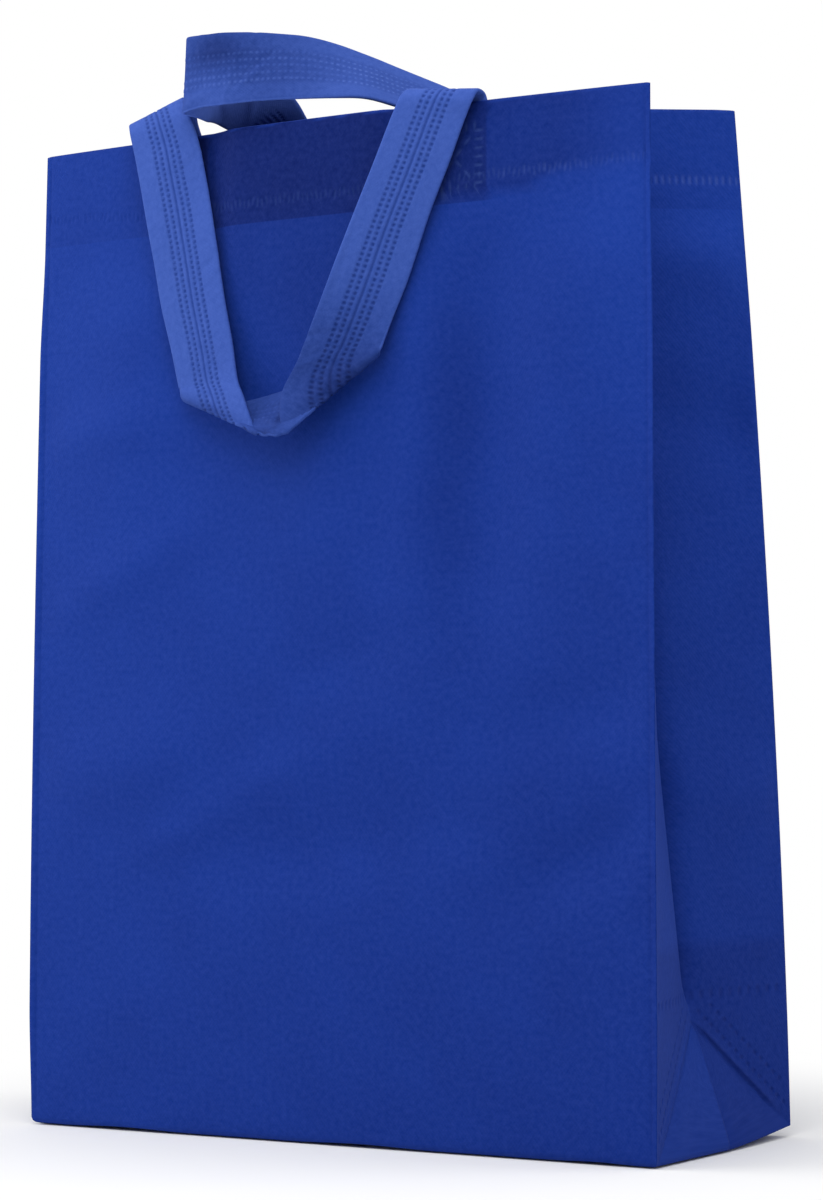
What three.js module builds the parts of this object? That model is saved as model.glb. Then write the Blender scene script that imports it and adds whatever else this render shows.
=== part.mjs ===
// Non-woven box bag: one sheet folded and welded into a standing bag, with two tape handles.
// Millimetres, +Z up, +X to the right as seen from the front, -Y towards the front.
import * as THREE from 'three';
import { mergeVertices } from 'three/addons/utils/BufferGeometryUtils.js';

// Driving dimensions of the bag
const BAG_WIDTH = 254;
const BAG_DEPTH = 97;
const BAG_HEIGHT = 350;
const SHEET = 0.6;
const HEM_DEPTH = 34; // sheet folded down inside the rim
const RIM_ROUND = 0.5; // height of the rounded fold along the rim

// How the empty bag stands: its mouth has closed up and its gussets have folded inwards
const FRONT_LEAN = 8.5; // front corners of the rim, back from the base's front edge
const FRONT_BOW = 5; // middle of the front rim, forward of its corners
const BACK_LEAN = 28; // back rim, forward of the base's back edge
const MOUTH_TAPER = 2.6; // each end of the rim, in from the base's end
const GUSSET_SLACK = 0.5; // gusset half, wider than half the depth
const FOLD_HEIGHT = 43; // where the gusset's centre fold meets the corner folds
const SIDE_BULGE = 1.5; // middle of the base's short edges, out from the corners
const CORNER_LIFT = 3.5; // back corners of the base, off the ground
const CORNER_REACH = 28; // length of the edges that lift with a corner
const TAPER_POWER = 1.5; // how late the ends of the walls draw in on the way up
const FRONT_POWER = 1.4; // how late the front leans back on the way up
const BACK_EVEN_SHARE = 0.42; // of the back's lean that is even from base to rim

// Driving dimensions of the handles
const TAPE_WIDTH = 26;
const TAPE_THICKNESS = 1.4;
const TAPE_END = 32; // tape welded to the hem's inside
const HANDLE_SPACING = 110; // between the middles of a handle's two ends
const FRONT_HANG = 109; // front handle's lowest point below the rim
const FRONT_RISE = 9.5; // front handle's top folds above the rim
const FRONT_STANDOFF = 10; // front handle's widest free space from the front panel
const BACK_RISE = 34; // back handle's top above the rim
const SEAT_GAP = 0.4; // between touching pieces

// Mesh fineness
const PANEL_COLUMNS = 16;
const GUSSET_COLUMNS = 5;
const FACET_COLUMNS = 3;
const CORNER_ROWS = 5;
const WALL_ROWS = 16;
const HEM_ROWS = 3;
const TAPE_COLUMNS = 4;
const TAPE_STEPS = 4; // between two cross lines of a handle's route

const HEM_STEP = 0.4; // height over which the wall thickens into the hem

// Shape of the standing bag

function halfWidth(z) {
  return BAG_WIDTH / 2 - MOUTH_TAPER * (z / BAG_HEIGHT) ** TAPER_POWER;
}

function frontY(x, z) {
  const side = x / halfWidth(z);
  const lean = FRONT_LEAN - FRONT_BOW * (1 - side * side);
  return -BAG_DEPTH / 2 + lean * (z / BAG_HEIGHT) ** FRONT_POWER;
}

function backY(z) {
  const up = z / BAG_HEIGHT;
  return BAG_DEPTH / 2 - BACK_LEAN * (BACK_EVEN_SHARE * up + (1 - BACK_EVEN_SHARE) * up * up);
}

// How far along an edge a point is into a lifted corner, from 0 to 1 at the corner itself
const cornerShare = (fromCorner) => THREE.MathUtils.clamp(1 - fromCorner / CORNER_REACH, 0, 1);

function place(x, y, z) {
  const lift = cornerShare(BAG_WIDTH / 2 - Math.abs(x)) * cornerShare(BAG_DEPTH / 2 - y);
  return new THREE.Vector3(x, y, z + CORNER_LIFT * lift * Math.max(0, 1 - z / FOLD_HEIGHT));
}

const frontCorner = (side, z) => place(side * halfWidth(z), frontY(halfWidth(z), z), z);
const backCorner = (side, z) => place(side * halfWidth(z), backY(z), z);

// The gusset's centre fold: both halves keep their width as front and back come together
function centreFold(side, z) {
  const front = frontY(halfWidth(z), z);
  const half = (backY(z) - front) / 2;
  const sheetHalf = BAG_DEPTH / 2 + GUSSET_SLACK;
  const inward = Math.sqrt(Math.max(0, sheetHalf ** 2 - half ** 2));
  return place(side * (halfWidth(z) - inward), front + half, z);
}

const cornerFold = (side, corner, z) =>
  corner(side, 0).lerp(centreFold(side, FOLD_HEIGHT), z / FOLD_HEIGHT);

const sideCrease = (side, z) =>
  place(side * (BAG_WIDTH / 2 + SIDE_BULGE), 0, 0).lerp(centreFold(side, FOLD_HEIGHT), z / FOLD_HEIGHT);

// Rows of the walls, closer together at the corner folds and the hem

function rows(from, to, count) {
  return Array.from({ length: count }, (_, i) => from + ((to - from) * i) / count);
}

const hemFoot = BAG_HEIGHT - HEM_DEPTH;
const rimFoot = BAG_HEIGHT - RIM_ROUND;
const lowLevels = [...rows(0, FOLD_HEIGHT, CORNER_ROWS), FOLD_HEIGHT];
const levels = [
  ...rows(0, FOLD_HEIGHT, CORNER_ROWS),
  ...rows(FOLD_HEIGHT, hemFoot, WALL_ROWS),
  hemFoot,
  ...rows(hemFoot + HEM_STEP, rimFoot, HEM_ROWS),
  rimFoot,
];

// Patches of the sheet

// Triangles of a grid of points, turned so that they face the way given
function patch(columns, levelList, pointAt, facing) {
  const grid = levelList.map((z) => Array.from({ length: columns + 1 }, (_, i) => pointAt(i / columns, z)));
  const triangles = [];
  for (let j = 0; j + 1 < grid.length; j++) {
    for (let i = 0; i < columns; i++) {
      triangles.push([grid[j][i], grid[j][i + 1], grid[j + 1][i + 1]]);
      triangles.push([grid[j][i], grid[j + 1][i + 1], grid[j + 1][i]]);
    }
  }
  const total = new THREE.Vector3();
  for (const [a, b, c] of triangles) {
    total.add(b.clone().sub(a).cross(c.clone().sub(a)));
  }
  return total.dot(facing) < 0 ? triangles.map(([a, b, c]) => [a, c, b]) : triangles;
}

function panel(wallY, facing) {
  const pointAt = (u, z) => {
    const x = (2 * u - 1) * halfWidth(z);
    return place(x, wallY(x, z), z);
  };
  return patch(PANEL_COLUMNS, levels, pointAt, facing);
}

function gussetHalf(side, corner, facing) {
  const pointAt = (u, z) => {
    const fold = z < FOLD_HEIGHT ? cornerFold(side, corner, z) : centreFold(side, z);
    return corner(side, z).lerp(fold, u);
  };
  return patch(GUSSET_COLUMNS, levels, pointAt, facing);
}

function cornerFacet(side, corner, facing) {
  const pointAt = (u, z) => cornerFold(side, corner, z).lerp(sideCrease(side, z), u);
  return patch(FACET_COLUMNS, lowLevels, pointAt, facing);
}

function base(facing) {
  const shares = Array.from({ length: 2 * FACET_COLUMNS + 1 }, (_, i) => i / FACET_COLUMNS);
  const edgeAt = (side, share) =>
    share < 1
      ? frontCorner(side, 0).lerp(sideCrease(side, 0), share)
      : sideCrease(side, 0).lerp(backCorner(side, 0), share - 1);
  const pointAt = (u, share) => {
    const point = edgeAt(-1, share).lerp(edgeAt(1, share), u);
    return point.setZ(point.z * cornerShare(BAG_WIDTH / 2 - Math.abs(point.x)));
  };
  return patch(PANEL_COLUMNS, shares, pointAt, facing);
}

// Turning a sheet's outer face into a solid

// Shared vertices and triangles of loose triangles, without those that have no area
function weld(triangles) {
  const loose = new THREE.BufferGeometry().setFromPoints(triangles.flat());
  const welded = mergeVertices(loose, 0.001);
  const position = welded.getAttribute('position');
  const vertices = Array.from({ length: position.count }, (_, i) =>
    new THREE.Vector3().fromBufferAttribute(position, i));
  const index = Array.from(welded.index.array);
  const faces = [];
  for (let i = 0; i < index.length; i += 3) {
    const [a, b, c] = index.slice(i, i + 3);
    if (a !== b && b !== c && c !== a) {
      faces.push([a, b, c]);
    }
  }
  return { vertices, faces };
}

// The step that takes a vertex to the sheet's other face, at the sheet's thickness from every facet
function innerStep(normals, thickness) {
  const SOFTNESS = 0.001;
  const sums = new THREE.Matrix3().set(SOFTNESS, 0, 0, 0, SOFTNESS, 0, 0, 0, SOFTNESS);
  const total = new THREE.Vector3();
  for (const normal of normals) {
    const parts = normal.toArray();
    parts.forEach((a, i) => parts.forEach((b, j) => { sums.elements[3 * i + j] += a * b; }));
    total.add(normal);
  }
  return total.multiplyScalar(-thickness).applyMatrix3(sums.invert());
}

function sheetSolid(triangles) {
  const { vertices, faces } = weld(triangles);
  const normalsAt = vertices.map(() => []);
  const edges = new Set();
  for (const face of faces) {
    const [a, b, c] = face.map((i) => vertices[i]);
    const normal = b.clone().sub(a).cross(c.clone().sub(a)).normalize();
    face.forEach((i) => normalsAt[i].push(normal));
    face.forEach((i, k) => edges.add(`${i},${face[(k + 1) % 3]}`));
  }
  const inner = vertices.map((v, i) => {
    const layers = v.z > hemFoot + HEM_STEP / 2 ? 2 : 1;
    return v.clone().add(innerStep(normalsAt[i], layers * SHEET));
  });
  const crest = vertices.map((v, i) => v.clone().lerp(inner[i], 0.5).setZ(BAG_HEIGHT));
  const solid = [];
  for (const [a, b, c] of faces) {
    solid.push([vertices[a], vertices[b], vertices[c]], [inner[a], inner[c], inner[b]]);
  }
  for (const edge of edges) {
    const [a, b] = edge.split(',').map(Number);
    if (!edges.has(`${b},${a}`)) {
      solid.push([vertices[b], vertices[a], crest[a]], [vertices[b], crest[a], crest[b]]);
      solid.push([crest[b], crest[a], inner[a]], [crest[b], inner[a], inner[b]]);
    }
  }
  return geometryOf(solid);
}

function geometryOf(triangles) {
  const { vertices, faces } = weld(triangles);
  const geometry = new THREE.BufferGeometry().setFromPoints(vertices);
  geometry.setIndex(faces.flat());
  geometry.computeVertexNormals();
  return geometry;
}

function bagBody() {
  const sheet = [
    ...panel(frontY, new THREE.Vector3(0, -1, 0)),
    ...panel((x, z) => backY(z), new THREE.Vector3(0, 1, 0)),
    ...base(new THREE.Vector3(0, 0, -1)),
  ];
  for (const side of [-1, 1]) {
    const facing = new THREE.Vector3(side, 0, 0);
    for (const corner of [frontCorner, backCorner]) {
      sheet.push(...gussetHalf(side, corner, facing), ...cornerFacet(side, corner, facing));
    }
  }
  return sheetSolid(sheet);
}

// Handles: each is a flat tape along a route of cross lines

const END = 'against the hem';
const hemOffset = 2 * SHEET + SEAT_GAP + TAPE_THICKNESS / 2;
const hang = (share) => -share * FRONT_HANG;
const foldRise = (share) => share * FRONT_RISE;
const rise = (share) => share * BACK_RISE;

// The two ends of a cross line. across is in half handle spacings, up is above the rim and span is the way
// over the tape in tape widths. An END lies against the hem, and any other line's y comes from its depth.
function crossLine([across, up, depth, span], hemY, middleY) {
  const middle = new THREE.Vector3((across * HANDLE_SPACING) / 2, 0, BAG_HEIGHT + up);
  const halfSpan = new THREE.Vector3(...span).multiplyScalar(TAPE_WIDTH / 2);
  const ends = [middle.clone().sub(halfSpan), middle.clone().add(halfSpan)];
  const level = Math.min(middle.z, BAG_HEIGHT);
  return depth === END
    ? ends.map((end) => end.setY(hemY(end.x, Math.min(end.z, BAG_HEIGHT))))
    : ends.map((end) => end.setY(end.y + middleY(depth, middle.x, level, Math.abs(halfSpan.y))));
}

function tapeSolid(lines) {
  const edges = [0, 1].map((k) => new THREE.CatmullRomCurve3(lines.map((line) => line[k])));
  const steps = (lines.length - 1) * TAPE_STEPS;
  const middle = [];
  for (let j = 0; j <= steps; j++) {
    const [a, b] = edges.map((edge) => edge.getPoint(j / steps));
    middle.push(Array.from({ length: TAPE_COLUMNS + 1 }, (_, i) => a.clone().lerp(b, i / TAPE_COLUMNS)));
  }
  const face = (sign) =>
    middle.map((row, j) =>
      row.map((point, i) => {
        const along = middle[Math.min(j + 1, steps)][i].clone().sub(middle[Math.max(j - 1, 0)][i]);
        const over = row[TAPE_COLUMNS].clone().sub(row[0]);
        const normal = along.cross(over).normalize();
        return point.clone().addScaledVector(normal, (sign * TAPE_THICKNESS) / 2);
      }));
  const [top, bottom] = [face(1), face(-1)];
  const triangles = [];
  const quad = (a, b, c, d) => triangles.push([a, b, c], [a, c, d]);
  for (let j = 0; j < steps; j++) {
    for (let i = 0; i < TAPE_COLUMNS; i++) {
      quad(top[j][i], top[j + 1][i], top[j + 1][i + 1], top[j][i + 1]);
      quad(bottom[j][i], bottom[j][i + 1], bottom[j + 1][i + 1], bottom[j + 1][i]);
    }
    quad(top[j][0], bottom[j][0], bottom[j + 1][0], top[j + 1][0]);
    const last = TAPE_COLUMNS;
    quad(top[j][last], top[j + 1][last], bottom[j + 1][last], bottom[j][last]);
  }
  for (let i = 0; i < TAPE_COLUMNS; i++) {
    quad(top[0][i], top[0][i + 1], bottom[0][i + 1], bottom[0][i]);
    quad(top[steps][i], bottom[steps][i], bottom[steps][i + 1], top[steps][i + 1]);
  }
  return geometryOf(triangles);
}

// Front handle: over the rim, down the front as a V whose foot is pinched into two diagonal folds. The
// depth of a line is its free space from the front panel, as a share of the widest.
const FRONT_ROUTE = [
  [-1.12, -TAPE_END, END, [1, 0, 0]],
  [-1.14, -TAPE_END * 0.4, END, [1, 0, 0.06]],
  [-1.23, 0, END, [0.93, 0, 0.35]],
  [-1.27, foldRise(0.7), -0.32, [0.93, 0, 0.33]],
  [-1.275, foldRise(1), 0.19, [0.92, 0, 0.29]],
  [-1.21, foldRise(0.55), 0.47, [0.94, 0.06, 0.22]],
  [-1.14, hang(0.04), 0.46, [0.98, 0.13, 0.13]],
  [-1.08, hang(0.15), 0.48, [0.97, 0.17, 0.1]],
  [-0.98, hang(0.35), 0.61, [0.95, 0.17, 0.12]],
  [-0.88, hang(0.565), 0.8, [0.95, 0.12, 0.12]],
  [-0.8, hang(0.715), 0.95, [0.97, 0.04, 0.11]],
  [-0.745, hang(0.825), 1, [0.99, -0.06, 0.09]],
  [-0.7, hang(0.87), 0.94, [1.12, -0.15, -0.07]],
  [-0.63, hang(0.935), 0.82, [1.34, -0.27, -0.39]],
  [-0.62, hang(0.95), 0.52, [1.44, -0.4, -0.42]],
  [-0.6, hang(0.945), 0.26, [1.42, -0.52, -0.48]],
  [-0.49, hang(0.944), 0.14, [1.08, -0.58, -0.5]],
  [-0.31, hang(0.938), 0.1, [0.56, -0.63, -0.57]],
  [-0.12, hang(0.925), 0.1, [-0.03, -0.65, -0.72]],
  [0.02, hang(0.908), 0.12, [-0.53, -0.61, -0.85]],
  [0.135, hang(0.892), 0.2, [-0.95, -0.54, -0.97]],
  [0.19, hang(0.882), 0.46, [-1.16, -0.4, -0.99]],
  [0.205, hang(0.852), 0.66, [-1.27, -0.33, -0.85]],
  [0.215, hang(0.8), 0.66, [-1.34, -0.31, -0.6]],
  [0.28, hang(0.725), 0.54, [-1.27, -0.35, -0.47]],
  [0.41, hang(0.578), 0.46, [-1.18, -0.37, -0.3]],
  [0.59, hang(0.362), 0.4, [-1.03, -0.38, -0.14]],
  [0.76, hang(0.173), 0.36, [-0.9, -0.37, 0.09]],
  [0.87, hang(0.045), 0.34, [-0.88, -0.35, 0.12]],
  [0.905, foldRise(0.1), 0.3, [-0.93, -0.27, 0.1]],
  [0.92, foldRise(0.4), 0.12, [-0.95, -0.18, 0.07]],
  [0.915, foldRise(0.28), -0.31, [-0.98, -0.06, 0.04]],
  [0.93, -TAPE_END * 0.08, END, [-1, 0, 0.02]],
  [0.98, -TAPE_END * 0.4, END, [-1, 0, 0]],
  [1, -TAPE_END, END, [-1, 0, 0]],
];

// Back handle: up from the back hem, forwards over the mouth to the front rim, round at the left and across
// to its other end. The depth of a line is a share of the mouth, from the back rim to the front one.
const BACK_ROUTE = [
  [-1, -TAPE_END, END, [1, 0, 0]],
  [-1, -TAPE_END * 0.4, END, [1, 0, 0]],
  [-1, -TAPE_END * 0.1, END, [1, 0, 0.02]],
  [-1, rise(0.12), 0.06, [1, 0, 0.05]],
  [-1, rise(0.31), 0.21, [0.93, 0.19, 0.12]],
  [-0.97, rise(0.39), 0.38, [0.78, 0.42, 0.44]],
  [-0.93, rise(0.49), 0.67, [0.48, 0.5, 0.76]],
  [-0.93, rise(0.53), 0.91, [0.07, 0.23, 1]],
  [-0.92, rise(0.55), 1.06, [0.02, 0.08, 1.04]],
  [-0.94, rise(0.57), 1.13, [0.02, 0.06, 1.05]],
  [-0.8, rise(0.585), 1.15, [0, 0.1, 1]],
  [-0.63, rise(0.58), 1.15, [-0.05, 0.15, 1]],
  [-0.43, rise(0.575), 1.11, [0, 0.19, 0.96]],
  [-0.16, rise(0.55), 1.03, [-0.15, 0.31, 0.92]],
  [0.03, rise(0.51), 0.92, [-0.3, 0.46, 0.82]],
  [0.17, rise(0.46), 0.79, [-0.34, 0.58, 0.7]],
  [0.28, rise(0.38), 0.63, [-0.36, 0.66, 0.63]],
  [0.39, rise(0.29), 0.46, [-0.2, 0.72, 0.54]],
  [0.54, rise(0.17), 0.3, [0.15, 0.75, 0.4]],
  [0.73, rise(0.16), 0.18, [0.6, 0.5, 0.28]],
  [0.9, rise(0.13), 0.08, [0.94, 0.06, 0.12]],
  [0.97, -TAPE_END * 0.08, END, [0.98, 0, 0.08]],
  [1, -TAPE_END * 0.4, END, [1, 0, 0]],
  [1, -TAPE_END, END, [1, 0, 0]],
];

function frontHandle() {
  const hemY = (x, z) => frontY(x, z) + hemOffset;
  const middleY = (share, x, z, halfDepth) =>
    frontY(x, z) - share * FRONT_STANDOFF - halfDepth - TAPE_THICKNESS / 2;
  return tapeSolid(FRONT_ROUTE.map((line) => crossLine(line, hemY, middleY)));
}

function backHandle() {
  const hemY = (x, z) => backY(z) - hemOffset;
  const middleY = (share) => THREE.MathUtils.lerp(backY(BAG_HEIGHT), frontY(0, BAG_HEIGHT), share);
  return tapeSolid(BACK_ROUTE.map((line) => crossLine(line, hemY, middleY)));
}

// The object

const sheetCloth = new THREE.MeshStandardMaterial({ color: 0x1f3f96, roughness: 0.85, metalness: 0 });
const tapeCloth = new THREE.MeshStandardMaterial({ color: 0x3f60b4, roughness: 0.8, metalness: 0 });

function piece(name, geometry, material) {
  const mesh = new THREE.Mesh(geometry, material);
  mesh.name = name;
  return mesh;
}

const bag = new THREE.Group();
bag.add(piece('bag_body', bagBody(), sheetCloth));
bag.add(piece('front_handle', frontHandle(), tapeCloth));
bag.add(piece('back_handle', backHandle(), tapeCloth));

export default bag;
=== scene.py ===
"""Non-woven box bag: the folded sheet and the two tape handles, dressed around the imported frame."""
import collections
import math

import bmesh
import bpy
import numpy as np
from mathutils import Matrix, Vector


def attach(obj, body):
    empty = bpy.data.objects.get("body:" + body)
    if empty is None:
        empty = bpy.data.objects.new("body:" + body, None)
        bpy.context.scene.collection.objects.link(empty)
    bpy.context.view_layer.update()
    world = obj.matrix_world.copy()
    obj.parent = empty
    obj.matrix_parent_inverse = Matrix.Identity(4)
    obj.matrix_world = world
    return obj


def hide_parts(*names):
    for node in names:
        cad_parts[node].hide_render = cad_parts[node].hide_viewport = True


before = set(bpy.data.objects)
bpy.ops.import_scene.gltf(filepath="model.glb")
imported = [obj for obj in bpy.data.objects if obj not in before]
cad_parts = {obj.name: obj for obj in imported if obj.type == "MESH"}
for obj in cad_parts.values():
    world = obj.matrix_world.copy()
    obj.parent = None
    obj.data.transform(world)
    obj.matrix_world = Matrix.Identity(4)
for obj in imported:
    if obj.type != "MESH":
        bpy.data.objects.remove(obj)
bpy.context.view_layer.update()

MM = 0.001

# Sizes of the bag in millimetres, as the frame has them
BAG_WIDTH = 254
BAG_DEPTH = 97
BAG_HEIGHT = 350
SHEET = 0.6
HEM_DEPTH = 34
RIM_ROUND = 0.5
FRONT_LEAN = 8.5
FRONT_BOW = 5
BACK_LEAN = 28
MOUTH_TAPER = 2.6
GUSSET_SLACK = 0.5
FOLD_HEIGHT = 43
SIDE_BULGE = 1.5
CORNER_LIFT = 3.5
CORNER_REACH = 28
TAPER_POWER = 1.5
FRONT_POWER = 1.4
BACK_EVEN_SHARE = 0.42

# Sizes of the handles in millimetres, as the frame has them
TAPE_WIDTH = 26
TAPE_THICKNESS = 1.4
TAPE_END = 32
HANDLE_SPACING = 110
FRONT_HANG = 109
FRONT_RISE = 9.5
FRONT_STANDOFF = 10
BACK_RISE = 34
SEAT_GAP = 0.4

HEM_FOOT = BAG_HEIGHT - HEM_DEPTH
HEM_STEP = 0.4
RIM_FOOT = BAG_HEIGHT - RIM_ROUND
HALF_GUSSET = BAG_DEPTH / 2 + GUSSET_SLACK
FOLD_SLANT = math.atan2(FOLD_HEIGHT, HALF_GUSSET)

# Heat welds
HEM_WELD = BAG_HEIGHT - 24
HANDLE_WELD = (19, 20.5)  # width and height of the crossed box that holds a handle's end
HANDLE_WELD_TOP = BAG_HEIGHT - 8.5
CROSS_MARGIN = 0.14  # share of a slant of the box that is free at each of its ends
FRONT_WELDS = [-62, 52]  # middles of the handles' ends across the front, and across the back
BACK_WELDS = [-55, 55]
GUSSET_WELD = 51  # level row of marks
GUSSET_WELD_START = 2  # of that row, in from the corner
SLANT_WELDS = (4.7, 10.2)  # rows of marks above a slanting corner fold
WELD_DEPTH = 0.28
WELD_ROOM = 2  # free space beside welds

# Marks of the welds: pitch, half the length along the row, half the height across it
HEM_DASHES = (1.9, 0.42, 1.5)
GUSSET_DASHES = (2.3, 0.5, 1.5)
BOX_DASHES = (2.95, 0.42, 1.5)
CROSS_DASHES = (5.2, 1.6, 0.45)
LEVEL_MARKS = (4.6, 0.9, 1.4)
SLANT_MARKS = (3.9, 1.1, 0.75)
SQUARENESS = 4  # power that gives a mark or a dot its square shape

# Unevenness of the front's and back's hem dashes
UNEVEN = 0.8
MARK_SHIFT, MARK_SLANT, MARK_LOSS = 0.7, 0.12, 0.35
MARK_TURNS = (1.9, 0.7, 2.4, 0.9)  # radians from mark to mark, which make them differ
HEM_SAG = 2.6  # how far their row dips below a level line
SAG_END = 118  # half the length of the dip
SAG_LOSS = 0.6  # share of it that is lost towards the right
SAG_LOSS_START = 25

# Pinched edges, pressed folds and creases
FRONT_RIDGE, BACK_RIDGE = 0.9, 0.2  # how far the upright edges of the front and back are drawn out
RIDGE_WAY = (0.8, 0.6)  # to the side, and forwards or backwards
RIDGE_REACH = 1.6
SEAM = 2  # fine groove along the upright edges of the front and back, in from the edge
SHARP = 0.4  # half the breadth of a sharp edge or groove
LIP = 0.8  # edge of the upper layer of a sharp crease at the foot of a gusset
PINCH = 0.9  # and the trough beside it
FOOT_WAY = np.array([0.95, 0, 0.3])  # out of the foot of a gusset
FLAP_TOP = 66  # below it the gusset is doubled by the folded corner of the base
FLAP_FADE = 60  # over which the painted light of a gusset's foot ends above it
LIP_START = 4  # height of a corner fold's lip above the ground
TUCK_START = 2  # height of a pressed centre fold above the corner folds
RIM_LEAN = 4  # how far the front rim is bent outwards between the handle's ends
TUCK = 6  # how much deeper a gusset's centre fold is pressed in than the halves beside it
TUCK_REACH = 2.2
BASE_ROUND = 2.4
BASE_WAVE = 0.9  # front edge of the base, off the ground in places
WAVE_LENGTH = 16
WAVE_START = 0.7

# Inside of the front handle's loop, where the front bends outwards to the rim and has painted shade
LEAN_LEFT, SHADE_LEFT, LOOP_RIGHT = -48, -72, 38
LEAN_FOOT, SHADE_FOOT = HEM_FOOT - 56, HEM_FOOT - 76
LOOP_RISE = BAG_HEIGHT - LEAN_FOOT
LOOP_EASE = 14

# Paint of the sheet, from -1 for its dark colour to 1 for its light one
DASH_LEFT, DASH_MIDDLE, DASH_RIGHT = -0.35, 0.55, 0.25  # hem dashes across the front and back, light welds with painted shade at the left
DASH_LEFT_END, DASH_RIGHT_END = -90, 85
BOX_PAINT = 0.9
SEAM_PAINT = -0.3
GUSSET_DASH_PAINT = 0.45
GUSSET_DOT_PAINT = -0.7
# Painted shadow lines along the side crease, the corner folds and the pressed centre fold, and their half
# breadths
CREASE_SHADOW = -0.5
UPPER_LINE, LOWER_LINE = 0.6, 0.7  # half the painted shadow line along a corner fold, above and below it
CREASE_LINE = 0.5
TUCK_LINE = 1.5

# Painted shade of the sheet, in steps of SHADE_TONE; below 0 it is painted light
LOW_SHADE = 1.4  # what is gained from the rim down to the base
PLAIN_LEVEL = 0.6  # share of the height at which that is nothing
DOUBLE_SHADE = 0.8  # painted shade over the doubled cloth at the hem and below FLAP_TOP
TAPE_SHADE = 1.5  # painted shade over a handle's end
RIGHT_SHADE = 0.6  # half of what the front gains from its left edge to its right one
LOOP_SHADE = 2.1
FRONT_HEM_SHADE = 2.1
HEM_LEFT, HEM_RIGHT = 0.3, 0.5  # shares of it at the hem's ends
HEM_LEFT_END, HEM_RIGHT_END = -95, 90  # from where on it changes towards the middle and the right
HEM_RAISE, HEM_BLUR = 5, 8  # how much higher and softer its foot is on the right
BLUR_START = 62
FACET_SHADE = 0.5  # what a facet has more than its gusset half
GUSSET_TURN = 1.8  # how far a gusset's shade turns round towards the rim
GUSSET_TURN_FOOT = 275

# Mesh fineness
PANEL_STEP = 4.2
FOLD_STEPS = [0, 0.5, 1.2, 2.4]  # distances of the lines beside a fold
SEAM_STEPS = [0, 0.6, 1.2, 1.6, SEAM, 2.4, 2.9, 4]  # and beside an upright edge of the front or back
LOW_ROWS = 11
FOLD_ROW = 1.2  # rows below and above the top of the corner folds
RIM_ROW = 1  # last row below the rim
GUSSET_COLUMNS = 11
FACET_COLUMNS = 6
CUTS = 8  # of a cell that carries welds
HEM_BAND = PANEL_STEP * 0.79  # half the band of cells that the hem's dashes run through
SLANT_BAND = PANEL_STEP * 0.7  # and the slanting rows
INNER_REACH = 6  # length beside a fold over which the inner face runs straight
RIM_SHARES = [0, 0.15, 0.5, 0.85, 1]  # lines of the rim, from the outer face to the inner one
TAPE_STEP = 0.6
DOT_COLUMNS = 28
DOT_MARGIN = 0.27  # share of a tape's width outside its dots
MARGIN_COLUMNS = 7
MARGIN_END = 0.25

# Limits that keep the sums sound
TINY = 1e-4  # step for slopes
LEAST = 1e-12  # least length to divide by
SLIVER = 0.01  # least size of a cell that has a direction
STEADY = 0.001  # weight that keeps a step small where no facet asks for it
DECIMALS = 2  # of a millimetre, to which points at one place agree
WELD_TOGETHER = 0.002 * MM
CLEAR_AWAY = 0.001 * MM

DOWN = np.array([0, 0, -1.0])
FORWARD = np.array([0, -1.0, 0])
BACKWARD = np.array([0, 1.0, 0])


# Shape of the standing bag

def points(x, y, z):
    """Stacks coordinates into rows of points."""
    return np.stack(np.broadcast_arrays(x, y, z), axis=-1).astype(float)


def lerp(a, b, share):
    """Points a share of the way from a to b."""
    return a + (b - a) * np.asarray(share, float)[..., None]


def fade(distance, reach):
    """0 at an edge, rising to 1 at a distance from it."""
    share = np.clip(distance / reach, 0, 1)
    return share * share * (3 - 2 * share)


def between(value, low, high, rise, fall):
    """1 between two places and 0 beyond them, with a soft rise and fall inside them."""
    return fade(value - low, rise) * fade(high - value, fall)


def half_width(z):
    """Half the bag's width at a height."""
    return BAG_WIDTH / 2 - MOUTH_TAPER * (np.maximum(z, 0) / BAG_HEIGHT) ** TAPER_POWER


def front_y(x, z):
    """Depth of the front panel's outer face."""
    side = x / half_width(z)
    lean = FRONT_LEAN - FRONT_BOW * (1 - side * side)
    return -BAG_DEPTH / 2 + lean * (np.maximum(z, 0) / BAG_HEIGHT) ** FRONT_POWER


def back_y(z):
    """Depth of the back panel's outer face."""
    up = z / BAG_HEIGHT
    return BAG_DEPTH / 2 - BACK_LEAN * (BACK_EVEN_SHARE * up + (1 - BACK_EVEN_SHARE) * up * up)


def corner_share(from_corner):
    """How far along an edge a point is into a lifted corner."""
    return np.clip(1 - from_corner / CORNER_REACH, 0, 1)


def front_wave(x, y):
    """How far the base's front edge is off the ground."""
    share = np.clip(-2 * y / BAG_DEPTH, 0, 1) * fade(BAG_WIDTH / 2 - np.abs(x), CORNER_REACH)
    return BASE_WAVE * share * (0.5 + 0.5 * np.sin(x / WAVE_LENGTH + WAVE_START)) ** 2


def place(x, y, z):
    """A point of the sheet, lifted where it is near a back corner or a wave of the base."""
    lift = CORNER_LIFT * corner_share(BAG_WIDTH / 2 - np.abs(x)) * corner_share(BAG_DEPTH / 2 - y)
    return points(x, y, z + (lift + front_wave(x, y)) * np.maximum(0, 1 - z / FOLD_HEIGHT))


def front_corner(side, z):
    """The upright fold between the front panel and a gusset."""
    return place(side * half_width(z), front_y(half_width(z), z), z)


def back_corner(side, z):
    """The upright fold between the back panel and a gusset."""
    return place(side * half_width(z), back_y(z), z)


def centre_fold(side, z):
    """The gusset's inward fold: both halves keep their width as front and back come together."""
    front = front_y(half_width(z), z)
    half = (back_y(z) - front) / 2
    inward = np.sqrt(np.maximum(0, HALF_GUSSET ** 2 - half ** 2))
    return place(side * (half_width(z) - inward), front + half, z)


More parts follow.
